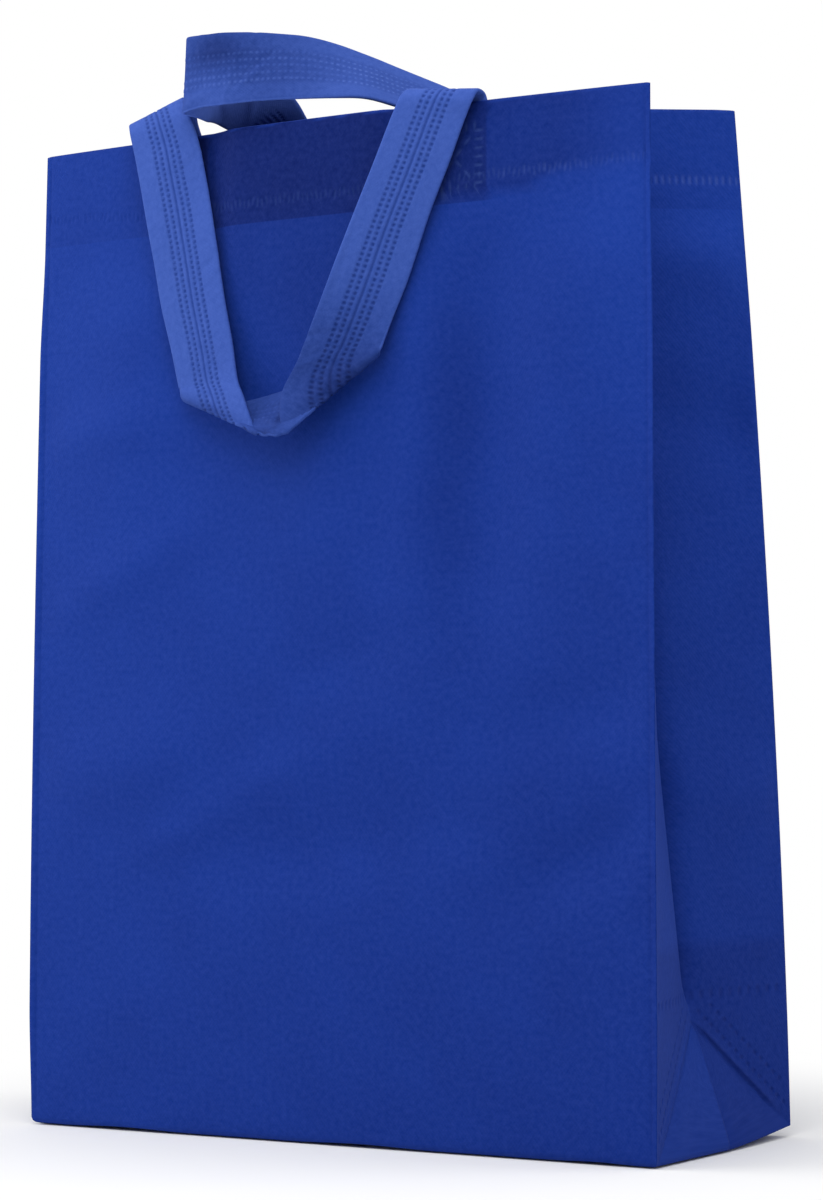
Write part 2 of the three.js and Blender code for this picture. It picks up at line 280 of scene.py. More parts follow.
def corner_fold(side, corner, z):
    """The slanting fold from a corner of the base up to the gusset's centre fold."""
    return lerp(corner(side, 0 * z), centre_fold(side, FOLD_HEIGHT + 0 * z), z / FOLD_HEIGHT)


def side_crease(side, z):
    """The crease from the middle of the base's short edge up to the gusset's centre fold."""
    foot = place(side * (BAG_WIDTH / 2 + SIDE_BULGE) + 0 * z, 0 * z, 0 * z)
    return lerp(foot, centre_fold(side, FOLD_HEIGHT + 0 * z), z / FOLD_HEIGHT)


# Welds, swells and pinched edges, all in the flat coordinates of a panel

def weld_marks(flat, start, end, pitch, half_along, half_across, uneven=0):
    """How deep each flat point lies in a row of weld marks, from 0 to 1. Uneven marks differ."""
    start, end = np.array(start, float), np.array(end, float)
    length = np.linalg.norm(end - start)
    along_axis = (end - start) / length
    offset = flat - start
    along = offset @ along_axis
    across = offset @ np.array([-along_axis[1], along_axis[0]])
    pitch = length / max(1, round(length / pitch))
    mark = np.round(along / pitch - 0.5)
    turns = [turn * mark for turn in MARK_TURNS]
    across = across + uneven * MARK_SHIFT * np.sin(turns[0])
    nearest = along / pitch - 0.5 - mark + uneven * MARK_SLANT * across * np.sin(turns[1])
    depth = 1 - uneven * MARK_LOSS * (1 + np.sin(turns[2]) * np.cos(turns[3]))
    inside = (along > 0) & (along < length)
    return square_spot(nearest * pitch / half_along, across / half_across) * depth * inside


def square_spot(along, across):
    """1 in the middle of a nearly square mark, falling to 0 outside it."""
    return np.exp(-np.abs(along) ** SQUARENESS - np.abs(across) ** SQUARENESS)


def handle_weld(flat, middle):
    """The crossed box of dashes that holds a handle's end to the hem."""
    wide, tall = HANDLE_WELD
    left, right = middle - wide / 2, middle + wide / 2
    top, bottom = HANDLE_WELD_TOP, HANDLE_WELD_TOP - tall
    corners = np.array([(left, top), (right, top), (right, bottom), (left, bottom)])
    sides = [weld_marks(flat, a, b, *BOX_DASHES) for a, b in zip(corners, np.roll(corners, -1, axis=0))]
    crosses = [weld_marks(flat, lerp(a, b, CROSS_MARGIN), lerp(b, a, CROSS_MARGIN), *CROSS_DASHES)
               for a, b in zip(corners[:2], corners[2:])]
    return np.max(sides + crosses, axis=0)


def swell(flat, across, up, angle, half_length, half_breadth, height):
    """A soft ridge or hollow of the cloth: its middle, its slant in degrees, its size and its height."""
    turn = math.radians(angle)
    offset = flat - np.array([across, up])
    along = offset @ np.array([math.cos(turn), math.sin(turn)])
    over = offset @ np.array([-math.sin(turn), math.cos(turn)])
    return height * np.exp(-(along / half_length) ** 2 - (over / half_breadth) ** 2)


def swells(flat, table):
    """Height of all the soft ridges and hollows of a table, whose rows say what swell takes."""
    return sum(swell(flat, *row) for row in table)


# Swells of the panels, and the painted shade and light of the front
FRONT_SWELLS = [
    (63, 245, 88, 70, 15, -6.5),
    (37, 242, 88, 62, 9, 1.6),
    (96, 280, 80, 40, 24, 3),
    (-84, 262, 86, 70, 26, 3),
    (-97, 247, 5, 32, 9, 2.4),
    (-88, 195, 25, 36, 9, 2.2),
    (-82, 130, 8, 38, 17, 4),
    (-62, 104, 18, 22, 5, 1.5),
    (-16, 126, 22, 40, 8, 1.5),
    (5, 101, 6, 55, 15, -3),
    (98, 146, 8, 36, 13, -3.5),
    (101, 98, 24, 40, 11, -3.2),
    (8, 164, 12, 28, 10, -1.7),
    (0, 225, 75, 40, 20, 1.6),
]
BACK_SWELLS = FRONT_SWELLS[5:12]
GUSSET_FRONT_SWELLS = [
    (25, 70, 88, 34, 12, 1.4),
    (24, 190, 84, 60, 14, 1.0),
    (24, 280, 95, 30, 14, -0.8),
]
GUSSET_BACK_SWELLS = [
    (25, 300, 2, 45, 11, 2.6),
    (25, 246, -2, 45, 15, -4.4),
    (25, 214, 6, 12, 4, -0.9),
    (24, 147, 8, 9, 3, -0.7),
    (25, 119, 3, 45, 12, 3),
    (11, 100, 10, 8, 3, 0.8),
    (24, FLAP_TOP, 0, 60, 1.6, 0.4),
]
FRONT_SHADES = [
    (51, 248, 88, 60, 11, 0.9),
    (118, 310, 90, 60, 18, -1.2),
]


# Patches of the sheet

def wall_levels():
    """Heights of the walls' rows, closer together at the base, the corner folds and the rim."""
    row = PANEL_STEP / 2
    low = np.linspace(FOLD_STEPS[-1], FOLD_HEIGHT - FOLD_ROW, LOW_ROWS)
    above = [FOLD_HEIGHT, FOLD_HEIGHT + FOLD_ROW, (FOLD_HEIGHT + GUSSET_WELD) / 2]
    middle = np.linspace(GUSSET_WELD + row, HEM_FOOT, round((HEM_FOOT - GUSSET_WELD) / PANEL_STEP))
    hem = [HEM_FOOT + HEM_STEP, (HEM_FOOT + HEM_WELD) / 2]
    top = np.linspace(HEM_WELD + row, RIM_FOOT - RIM_ROW, round((RIM_FOOT - HEM_WELD) / PANEL_STEP))
    return np.concatenate([FOLD_STEPS[:-1], low, above, [GUSSET_WELD - row], middle, hem, [HEM_WELD - row],
                           top, [RIM_FOOT]])


Lines = collections.namedtuple("Lines", "every key")  # a grid's lines, and those well clear of the folds


def panel_lines(length, step, beside):
    """Lines across a panel as shares of its length, closer together beside the folds at its ends."""
    inner = np.linspace(beside[-1], length - beside[-1], max(2, round(length / step)))
    ends = np.array(beside[:-1])
    lines = np.concatenate([ends, inner, length - ends[::-1]])
    inside = (lines >= INNER_REACH) & (lines <= length - INNER_REACH)
    inside[[0, -1]] = True
    return Lines(lines / length, lines[inside] / length)


def level_lines(levels):
    """Lines up a wall."""
    return Lines(levels, levels[(levels == 0) | (levels >= INNER_REACH)])


LEVELS = level_lines(wall_levels())
LOW_LEVELS = level_lines(LEVELS.every[LEVELS.every <= FOLD_HEIGHT])
PANEL_LINES = panel_lines(BAG_WIDTH, PANEL_STEP, SEAM_STEPS)
GUSSET_LINES = panel_lines(HALF_GUSSET, HALF_GUSSET / GUSSET_COLUMNS, FOLD_STEPS)
FACET_LINES = panel_lines(HALF_GUSSET, HALF_GUSSET / FACET_COLUMNS, FOLD_STEPS)
BASE_LINES = Lines(*(np.concatenate([lines, 1 + lines[1:]]) for lines in FACET_LINES))


def grid(us, vs, fine):
    """Grid points (u, v) and faces, with each cell that fine marks cut into CUTS by CUTS."""
    numbers, found, faces = {}, [], []
    columns, rows = len(us) - 1, len(vs) - 1

    def number(a, b):
        if (a, b) not in numbers:
            (i, p), (j, q) = divmod(a, CUTS), divmod(b, CUTS)
            u = us[i] if p == 0 else us[i] + (us[i + 1] - us[i]) * p / CUTS
            v = vs[j] if q == 0 else vs[j] + (vs[j + 1] - vs[j]) * q / CUTS
            numbers[a, b] = len(found)
            found.append((u, v))
        return numbers[a, b]

    def is_fine(i, j):
        return 0 <= i < columns and 0 <= j < rows and fine[j, i]

    for j in range(rows):
        for i in range(columns):
            a, b = i * CUTS, j * CUTS
            if fine[j, i]:
                for q in range(b, b + CUTS):
                    for p in range(a, a + CUTS):
                        faces.append([number(p, q), number(p + 1, q), number(p + 1, q + 1), number(p, q + 1)])
                continue
            steps = [range(0, CUTS, 1 if is_fine(*next_cell) else CUTS)
                     for next_cell in ((i, j - 1), (i + 1, j), (i, j + 1), (i - 1, j))]
            loop = [(a + p, b) for p in steps[0]] + [(a + CUTS, b + q) for q in steps[1]]
            loop += [(a + CUTS - p, b + CUTS) for p in steps[2]] + [(a, b + CUTS - q) for q in steps[3]]
            faces.append([number(*corner) for corner in loop])
    return np.array(found), faces


def normals_of(surface, u, v, facing):
    """Unit normals of a surface, on the side that faces the way given."""
    du = surface(u + TINY, v) - surface(u - TINY, v)
    dv = surface(u, v + TINY) - surface(u, v - TINY)
    normals = np.cross(du, dv)
    normals /= np.maximum(np.linalg.norm(normals, axis=1, keepdims=True), LEAST)
    return normals if (normals @ facing).sum() > 0 else -normals


def round_base(vertices):
    """The points with the edges of the base rounded."""
    low = np.clip(BASE_ROUND - vertices[:, 2], 0, BASE_ROUND)
    inset = BASE_ROUND - np.sqrt(BASE_ROUND ** 2 - low ** 2)
    return vertices * points(1 - 2 * inset / BAG_WIDTH, 1 - 2 * inset / BAG_DEPTH, 1)


class Sheet:
    """Vertices, faces, flat coordinates, paint and painted shade of patches that are welded together at the
    end.
    """

    def __init__(self):
        self.vertices, self.faces, self.flats, self.paint, self.shade = [], [], [], [], []
        self.count = 0

    def add(self, vertices, faces, flats, paint, shade):
        """Adds one patch."""
        self.faces += [[i + self.count for i in face] for face in faces]
        self.count += len(vertices)
        self.vertices.append(vertices)
        self.flats.append(flats)
        self.paint.append(paint)
        self.shade.append(shade)

    def add_patch(self, patch):
        """Adds the outer face of a patch."""
        us, vs = patch.us.every, patch.vs.every
        u_mid, v_mid = np.meshgrid((us[1:] + us[:-1]) / 2, (vs[1:] + vs[:-1]) / 2)
        fine = patch.fine_at(patch.flat_of(u_mid.ravel(), v_mid.ravel())).reshape(u_mid.shape)
        uv, faces = grid(us, vs, fine)
        u, v = uv[:, 0], uv[:, 1]
        flats = patch.flat_of(u, v)
        height, marks, paint = patch.relief(flats, u)
        normals = normals_of(patch.surface, u, v, patch.facing)
        vertices = patch.surface(u, v) + normals * (height - WELD_DEPTH * marks)[:, None]
        a, b, c = (vertices[[face[k] for face in faces]] for k in (0, 1, 2))
        if (np.cross(b - a, c - a) @ patch.facing).sum() < 0:
            faces = [face[::-1] for face in faces]
        self.add(round_base(vertices), faces, flats, paint, patch.shade_of(flats, vertices[:, 2]))

    def to_object(self, name):
        """The mesh object, its patches welded and its flat coordinates kept as a UV map."""
        mesh = bpy.data.meshes.new(name)
        mesh.from_pydata(np.concatenate(self.vertices) * MM, [], self.faces)
        flats = np.concatenate(self.flats)
        loops = np.empty(len(mesh.loops), int)
        mesh.loops.foreach_get("vertex_index", loops)
        mesh.uv_layers.new(name="flat").data.foreach_set("uv", flats[loops].ravel())
        # paint, and the painted shade, kept as attributes of the points
        for attribute, values in (("paint", self.paint), ("shade", self.shade)):
            layer = mesh.attributes.new(attribute, "FLOAT", "POINT")
            layer.data.foreach_set("value", np.concatenate(values))
        welded = bmesh.new()
        welded.from_mesh(mesh)
        bmesh.ops.remove_doubles(welded, verts=welded.verts, dist=WELD_TOGETHER)
        bmesh.ops.dissolve_degenerate(welded, edges=welded.edges, dist=CLEAR_AWAY)
        welded.to_mesh(mesh)
        welded.free()
        mesh.shade_smooth()
        made = bpy.data.objects.new(name, mesh)
        bpy.context.scene.collection.objects.link(made)
        return made


def ridge(side, corner, distance, z):
    """The way a wall is drawn out where its upright edge is pinched, between the corner folds and the hem."""
    height, backwards = (FRONT_RIDGE, -1) if corner is front_corner else (BACK_RIDGE, 1)
    way = height * np.array([RIDGE_WAY[0] * side, RIDGE_WAY[1] * backwards, 0])
    share = np.exp(-(distance / RIDGE_REACH) ** 2) * between(z, 0, HEM_FOOT, FOLD_HEIGHT, FOLD_HEIGHT)
    return share[:, None] * way


def tuck(side, distance, z):
    """The way a gusset is pressed in along its centre fold, between the corner folds and the hem."""
    depth = TUCK * np.exp(-distance / TUCK_REACH) * tucked(z)
    return depth[:, None] * np.array([-side, 0, 0])


def tucked(z):
    """How far a gusset's centre fold is pressed in at a height, from 0 to 1."""
    return between(z, FOLD_HEIGHT + TUCK_START, HEM_FOOT, rise=16, fall=60)


def lip(distance, reach):
    """Height of a crease's upper layer at a distance from its edge."""
    return LIP * np.exp(-(distance / reach) ** 2)


def trough(distance, reach):
    """Height of the layer below a crease's edge: it falls off the edge and rises slowly again."""
    edge = np.exp(-(distance / SHARP) ** 2)
    return LIP * edge - PINCH * (1 - edge) * np.exp(-(distance / reach) ** 2)


def outwards(side, height):
    """Steps out of the foot of a gusset."""
    return height[:, None] * FOOT_WAY * np.array([side, 1, 1])


def on_corner_fold(z):
    """How much of its lip a slanting corner fold has at a height."""
    return between(z, LIP_START, FOLD_HEIGHT, rise=8, fall=3)


def on_side_crease(z):
    """How much of its lip the crease in the middle of a gusset's foot has at a height."""
    return between(z, 0, FOLD_HEIGHT, rise=4, fall=3)


def panel_surface(wall_y, corner):
    """The front or back panel as a function of the share across it and the height."""
    def surface(u, z):
        x = (2 * u - 1) * half_width(z)
        edges = sum(ridge(side, corner, half_width(z) - side * x, z) for side in (-1, 1))
        return place(x, wall_y(x, z), z) + edges
    return surface


def gusset_surface(side, corner):
    """Half of a gusset as a function of the share in from its corner and the height."""
    def surface(u, z):
        fold = np.where((z < FOLD_HEIGHT)[:, None], corner_fold(side, corner, z), centre_fold(side, z))
        edge = lip(above_corner_fold(gusset_flat(u, z)), reach=1.9) * on_corner_fold(z)
        drawn = ridge(side, corner, u * HALF_GUSSET, z) + tuck(side, (1 - u) * HALF_GUSSET, z)
        return lerp(corner(side, z), fold, u) + drawn + outwards(side, edge)
    return surface


def facet_distances(u, z):
    """Distances of a point of a facet from the corner fold above it and from the crease beside it."""
    wide = HALF_GUSSET * np.maximum(0, 1 - z / FOLD_HEIGHT)
    return u * wide * math.sin(FOLD_SLANT), (1 - u) * wide


def facet_surface(side, corner):
    """Half of the triangle at the foot of a gusset. Its front half is the upper layer of the crease."""
    def surface(u, z):
        from_fold, from_crease = facet_distances(u, z)
        crease = lip(from_crease, reach=8) if corner is front_corner else trough(from_crease, reach=2)
        height = crease * on_side_crease(z) * fade(from_fold, reach=3)
        height += trough(from_fold, reach=1.4) * on_corner_fold(z)
        return lerp(corner_fold(side, corner, z), side_crease(side, z), u) + outwards(side, height)
    return surface


def base_surface(u, share):
    """The base, share 0 to 2 from its front edge to its back edge."""
    def edge(side):
        zero = 0 * share
        front = lerp(front_corner(side, zero), side_crease(side, zero), np.minimum(share, 1))
        back = lerp(side_crease(side, zero), back_corner(side, zero), np.maximum(share - 1, 0))
        return np.where((share < 1)[:, None], front, back)
    point = lerp(edge(-1), edge(1), u)
    point[:, 2] *= corner_share(BAG_WIDTH / 2 - np.abs(point[:, 0]))
    point[:, 2] += front_wave(point[:, 0], point[:, 1])
    return point


def panel_flat(u, z):
    """Flat coordinates of the front or back panel."""
    return np.stack([(2 * u - 1) * half_width(z), z], axis=-1)


def gusset_flat(u, z):
    """Flat coordinates of a gusset half: the distance in from its corner, and the height."""
    return np.stack([u * HALF_GUSSET * np.minimum(1, z / FOLD_HEIGHT), z], axis=-1)


def base_flat(u, share):
    """Flat coordinates of the base."""
    return np.stack([(2 * u - 1) * BAG_WIDTH / 2, share * BAG_DEPTH / 2], axis=-1)


def hem_sag(across):
    """How far the row of dashes of the front or back dips below a level line."""
    lost = SAG_LOSS * fade(across - SAG_LOSS_START, reach=45)
    return HEM_SAG * between(across, -SAG_END, SAG_END, rise=45, fall=30) * (1 - lost)


def dash_paint(across):
    """Paint of the hem dashes of the front or back: light weld marks, with painted shade that makes them dark
    at the left end.
    """
    to_middle = (DASH_MIDDLE - DASH_LEFT) * fade(across - DASH_LEFT_END, reach=40)
    return DASH_LEFT + to_middle + (DASH_RIGHT - DASH_MIDDLE) * fade(across - DASH_RIGHT_END, reach=25)


def in_loop(flat, left, foot):
    """1 at the rim inside the front handle's loop, falling to 0 at its left and right and at a foot below."""
    inside = between(flat[:, 0], left, LOOP_RIGHT, rise=LOOP_EASE, fall=LOOP_EASE)
    return inside * fade(flat[:, 1] - foot, LOOP_RISE)


def rim_lean(flat):
    """How far the front is bent outwards towards the rim, between the handle's ends."""
    return RIM_LEAN * in_loop(flat, LEAN_LEFT, LEAN_FOOT)


def panel_relief(handle_middles, table, lean=None):
    """Swells, welds and paint of the front or back panel."""
    def relief(flat, u):
        across, up = flat.T
        from_edge = half_width(up) - np.abs(across)
        dipped = flat + np.stack([0 * u, hem_sag(across)], axis=-1)
        ends = (-BAG_WIDTH / 2, HEM_WELD), (BAG_WIDTH / 2, HEM_WELD)
        dashes = weld_marks(dipped, *ends, *HEM_DASHES, UNEVEN)
        boxes = np.max([handle_weld(flat, middle) for middle in handle_middles], axis=0)
        clear = fade(from_edge, WELD_ROOM)
        seam = np.exp(-((from_edge - SEAM) / SHARP) ** 2) * between(up, 0, RIM_FOOT, rise=10, fall=4)
        loose = fade(from_edge, reach=14) * between(up, 0, HEM_FOOT, rise=30, fall=30)
        height = swells(flat, table) * loose + (lean(flat) if lean else 0)
        paint = (dash_paint(across) * dashes + BOX_PAINT * boxes) * clear + SEAM_PAINT * seam
        return height, np.maximum(dashes, boxes) * clear + seam, paint
    return relief


def near_hem_weld(flat, sag=0):
    """Cells that the hem's row of dashes runs through."""
    return np.abs(flat[:, 1] + sag - HEM_WELD) < HEM_BAND


def near_panel_welds(handle_middles):
    """Cells of a panel that carry welds."""
    half_tall = HANDLE_WELD[1] / 2

    def fine_at(flat):
        across, up = flat.T
        found = near_hem_weld(flat, hem_sag(across))
        for middle in handle_middles:
            beside = np.abs(across - middle) < TAPE_WIDTH / 2 + WELD_ROOM
            found |= beside & (np.abs(up - HANDLE_WELD_TOP + half_tall) < half_tall + WELD_ROOM)
        return found & (up < RIM_FOOT - RIM_ROW)
    return fine_at


def above_corner_fold(flat):
    """Distance of a gusset's flat point above its slanting corner fold."""
    slope = np.array([FOLD_HEIGHT, -HALF_GUSSET]) / math.hypot(FOLD_HEIGHT, HALF_GUSSET)
    return -(flat @ slope)


def gusset_relief(table, tone, fold_shadow):
    """Swells, welds and paint of a gusset half, with its level and slanting rows of marks, painted shadow
    along its folds and painted light near its foot.
    """
    lift = np.array([-math.sin(FOLD_SLANT), math.cos(FOLD_SLANT)])
    fold_top = np.array([HALF_GUSSET, FOLD_HEIGHT])

    def relief(flat, u):
        up = flat[:, 1]
        inside = np.minimum(u, 1 - u)
        dashes = weld_marks(flat, (0, HEM_WELD), (HALF_GUSSET, HEM_WELD), *GUSSET_DASHES)
        dashes *= fade(inside, reach=0.03)
        rows = [weld_marks(flat, (GUSSET_WELD_START, GUSSET_WELD), (HALF_GUSSET, GUSSET_WELD), *LEVEL_MARKS)]
        for height in SLANT_WELDS:
            foot, head = height * (lift + fold_top / HALF_GUSSET), height * lift + fold_top
            below = fade(GUSSET_WELD - WELD_ROOM - up, WELD_ROOM)
            rows.append(weld_marks(flat, foot, head, *SLANT_MARKS) * below)
        marks = np.max(rows, axis=0) * fade(inside, reach=0.04)
        loose = fade(inside, reach=0.14) * between(up, FOLD_HEIGHT, HEM_FOOT, rise=14, fall=10)
        # painted shadow along the slanting corner fold and the pressed centre fold
        crease = fold_shadow * np.exp(-(above_corner_fold(flat) / UPPER_LINE) ** 2) * on_corner_fold(up)
        crease += np.exp(-(1 - u) * HALF_GUSSET / TUCK_LINE) * tucked(up)
        paint = GUSSET_DASH_PAINT * dashes + GUSSET_DOT_PAINT * marks - crease
        # painted light, lighter towards the foot of the gusset half
        paint += tone * fade(FLAP_TOP + FLAP_FADE - up, FLAP_FADE) * fade(inside, reach=0.05)
        return swells(flat, table) * loose, np.maximum(dashes, marks), paint
    return relief


def facet_relief(tone, fold_shadow):
    """Painted light of a facet, and the painted shadow of the creases round it."""
    def relief(flat, u):
        from_fold, from_crease = facet_distances(u, flat[:, 1])
        fold = fold_shadow * np.exp(-(from_fold / LOWER_LINE) ** 2) * on_corner_fold(flat[:, 1])
        crease = CREASE_SHADOW * np.exp(-(from_crease / CREASE_LINE) ** 2) * on_side_crease(flat[:, 1])
        paint = tone * fade(from_fold, reach=1) * fade(from_crease, reach=0.6) - fold + crease
        return 0 * u, 0 * u, paint
    return relief


def near_gusset_welds(flat):
    """Cells of a gusset half that carry welds."""
    above = above_corner_fold(flat)
    slanting = np.min([np.abs(above - height) for height in SLANT_WELDS], axis=0) < SLANT_BAND
    slanting &= flat[:, 1] < GUSSET_WELD
    dotted = slanting | (np.abs(flat[:, 1] - GUSSET_WELD) < PANEL_STEP / 2)
    fold = HALF_GUSSET * np.minimum(1, flat[:, 1] / FOLD_HEIGHT)
    beside_folds = np.minimum(flat[:, 0], fold - flat[:, 0]) < FOLD_STEPS[-1]
    return near_hem_weld(flat) | (dotted & ~beside_folds)


def nowhere(flat):
    """No cells."""
    return np.zeros(len(flat), bool)


def plain(flat, u):
    """No swells, no welds and no paint."""
    return (np.zeros(len(u)),) * 3


# Painted shade of the patches, from their flat points and the heights where those are

def low_shade(z):
    """Painted shade that grows from the rim down to the base; above PLAIN_LEVEL it is painted light."""
    return LOW_SHADE * (PLAIN_LEVEL - z / BAG_HEIGHT)


def plain_shade(flat, z):
    """Painted shade of plain cloth, darker at its doubled hem."""
    return low_shade(z) + DOUBLE_SHADE * fade(z - HEM_FOOT, HEM_STEP)


def hem_shade(flat):
    """Painted shade of the front's hem against the panel below: less at both ends."""
    across, up = flat.T
    right = fade(across - BLUR_START, reach=40)
    level = fade(up - HEM_FOOT - HEM_RAISE * right, HEM_STEP + HEM_BLUR * right)
    left_share = HEM_LEFT + (1 - HEM_LEFT) * fade(across - HEM_LEFT_END, reach=40)
    right_share = 1 - (1 - HEM_RIGHT) * fade(across - HEM_RIGHT_END, reach=30)
    return FRONT_HEM_SHADE * level * left_share * right_share


def tape_end_shade(flat, middles):
    """Painted shade of the places where a handle's ends lie behind the cloth."""
    beside = sum(fade(TAPE_WIDTH / 2 - np.abs(flat[:, 0] - middle), reach=1) for middle in middles)
    return TAPE_SHADE * beside * fade(flat[:, 1] - BAG_HEIGHT + TAPE_END, reach=1)


def front_shade(flat, z):
    """Painted shade of the front, darker at its hem, inside its handle's loop and towards the right."""
    slow = low_shade(z) + RIGHT_SHADE * (1 + flat[:, 0] / half_width(flat[:, 1]))
    loop = LOOP_SHADE * in_loop(flat, SHADE_LEFT, SHADE_FOOT)
    return slow + loop + hem_shade(flat) + swells(flat, FRONT_SHADES) + tape_end_shade(flat, FRONT_WELDS)


def back_shade(flat, z):
    """Painted shade of the back."""
    return plain_shade(flat, z) + tape_end_shade(flat, BACK_WELDS)


def gusset_shade(shade):
    """Painted shade of a gusset half, which has its own and turns lighter or darker towards the rim."""
    def shade_of(flat, z):
        flap = DOUBLE_SHADE * (1 - fade(flat[:, 1] - FLAP_TOP, reach=1))
        own = shade * (1 - GUSSET_TURN * fade(flat[:, 1] - GUSSET_TURN_FOOT, reach=45))
        return plain_shade(flat, z) + flap + own
    return shade_of


def facet_shade(shade):
    """Painted shade of a facet below a gusset half with its own painted shade."""
    return lambda flat, z: plain_shade(flat, z) + shade + FACET_SHADE


# A patch's lines, its surface from them, its flat points, what lies on those, and the way it faces
Patch = collections.namedtuple("Patch", "us vs surface flat_of relief facing fine_at shade_of")

# Halves of a gusset: upright fold, swells, painted light, strength of the painted shadow along the slanting
# fold, and painted shade
GUSSET_HALVES = [
    (front_corner, GUSSET_FRONT_SWELLS, 0.05, 0.3, -0.2),
    (back_corner, GUSSET_BACK_SWELLS, 0, 1, 0.9),
]


def all_patches():
    """Every panel of the folded sheet, as seen from outside."""
    found = [
        Patch(PANEL_LINES, LEVELS, panel_surface(front_y, front_corner), panel_flat,
              panel_relief(FRONT_WELDS, FRONT_SWELLS, rim_lean), FORWARD, near_panel_welds(FRONT_WELDS),
              front_shade),
        Patch(PANEL_LINES, LEVELS, panel_surface(lambda x, z: back_y(z), back_corner), panel_flat,
              panel_relief(BACK_WELDS, BACK_SWELLS), BACKWARD, near_panel_welds(BACK_WELDS), back_shade),
        Patch(PANEL_LINES, BASE_LINES, base_surface, base_flat, plain, DOWN, nowhere, plain_shade),
    ]
    for side in (-1, 1):
        facing = np.array([side, 0, 0.0])
        for corner, table, tone, fold_shadow, shade in GUSSET_HALVES:
            found.append(Patch(GUSSET_LINES, LEVELS, gusset_surface(side, corner), gusset_flat,
                               gusset_relief(table, tone, fold_shadow), facing, near_gusset_welds,
                               gusset_shade(shade)))
            found.append(Patch(FACET_LINES, LOW_LEVELS, facet_surface(side, corner), gusset_flat,
                               facet_relief(tone, fold_shadow), facing, nowhere, facet_shade(shade)))
    return found


# The sheet's inner face and its rim

def grid_points(patch, us, vs):
    """Rows of points of a patch without its welds, and whether its grid faces outwards."""
    u, v = (a.ravel() for a in np.meshgrid(us, vs))
    normals = normals_of(patch.surface, u, v, patch.facing)
    found = patch.surface(u, v) + normals * patch.relief(patch.flat_of(u, v), u)[0][:, None]
    found = found.reshape(len(vs), len(us), 3)
    across, up = found[1:-1, 2:] - found[1:-1, :-2], found[2:, 1:-1] - found[:-2, 1:-1]
    return found, (np.cross(across, up) @ patch.facing).sum() > 0


def inner_offsets(corners, normals, thickness):
    """Steps to the inner face, at the thickness from all facets that meet in points of one corner number."""
    count = corners.max() + 1
    sums = np.tile(np.eye(3) * STEADY, (count, 1, 1))
    totals = np.zeros((count, 3))
    np.add.at(sums, corners, normals[:, :, None] * normals[:, None, :])
    np.add.at(totals, corners, normals)
    return -thickness[:, None] * np.linalg.solve(sums, totals[..., None])[..., 0]


def key_points(patches):
    """The points of the inner face on each patch's key lines."""
    keys = [grid_points(patch, patch.us.key, patch.vs.key) for patch in patches]
    every = np.concatenate([found.reshape(-1, 3) for found, _ in keys])
    places, numbers = np.unique(np.round(every, DECIMALS), axis=0, return_inverse=True)
    ends = np.cumsum([found.shape[0] * found.shape[1] for found, _ in keys])
    indices = [index.reshape(found.shape[:2])
               for index, (found, _) in zip(np.split(numbers.ravel(), ends[:-1]), keys)]
    corners, normals = [], []
    for (found, faces_out), index in zip(keys, indices):
        diagonals = found[1:, 1:] - found[:-1, :-1], found[1:, :-1] - found[:-1, 1:]
        normal = np.cross(*diagonals) * (1 if faces_out else -1)
        size = np.linalg.norm(normal, axis=-1)
        good = size > SLIVER
        for quad in (np.s_[:-1, :-1], np.s_[:-1, 1:], np.s_[1:, 1:], np.s_[1:, :-1]):
            corners.append(index[quad][good])
            normals.append((normal / np.maximum(size, LEAST)[..., None])[good])
    thickness = SHEET * np.where(places[:, 2] > HEM_FOOT + HEM_STEP / 2, 2, 1)
    steps = inner_offsets(np.concatenate(corners), np.concatenate(normals), thickness)
    return [found + steps[index] for (found, _), index in zip(keys, indices)]


def stretch(lines, values):
    """Values on key lines, spread evenly over the lines between them."""
    at = np.interp(lines.every, lines.key, np.arange(len(lines.key)))
    low = np.minimum(at.astype(int), len(lines.key) - 2)
    share = (at - low).reshape(-1, *[1] * (values.ndim - 1))
    return values[low] * (1 - share) + values[low + 1] * share


def quads_of(rows, columns, flipped):
    """Faces of a grid of points that are stored row by row."""
    faces = [[j * columns + i, j * columns + i + 1, (j + 1) * columns + i + 1, (j + 1) * columns + i]
             for j in range(rows - 1) for i in range(columns - 1)]
    return [face[::-1] for face in faces] if flipped else faces


def add_inner_face(sheet, patches):
    """Adds the inner face, and the rounded fold along the rim that joins it to the outer one."""
    inside = np.s_[1:-1, 1:-1]
    for patch, keys in zip(patches, key_points(patches)):
        inner = stretch(patch.vs, keys)
        inner = stretch(patch.us, inner.swapaxes(0, 1)).swapaxes(0, 1)
        outer, faces_out = grid_points(patch, patch.us.every, patch.vs.every)
        u, v = (a.ravel() for a in np.meshgrid(patch.us.every, patch.vs.every))
        normals = normals_of(patch.surface, u, v, patch.facing).reshape(outer.shape)
        missing = np.maximum(SHEET / 2 - ((outer - inner) * normals).sum(axis=-1, keepdims=True), 0)
        inner[inside] -= (normals * missing)[inside]
        flats = patch.flat_of(u, v)
        layers = [(inner, flats, faces_out)]
        if patch.vs is LEVELS:
            shares = np.array(RIM_SHARES)[:, None, None]
            rim = outer[-1] + (inner[-1] - outer[-1]) * shares
            rim[..., 2] += RIM_ROUND * np.sin(np.pi * shares[..., 0])
            layers.append((rim, np.tile(flats[-rim.shape[1]:], (len(shares), 1)), not faces_out))
        for surface, flat, flipped in layers:
            faces = quads_of(*surface.shape[:2], flipped)
            # painted shade of the doubled hem, on the inner face and the rim
            shade = fade(surface[..., 2].ravel() - HEM_FOOT, HEM_STEP)
            sheet.add(round_base(surface.reshape(-1, 3)), faces, flat, 0 * shade, shade)


# Handles: each is a flat tape along a route of cross lines

END = "against the hem"

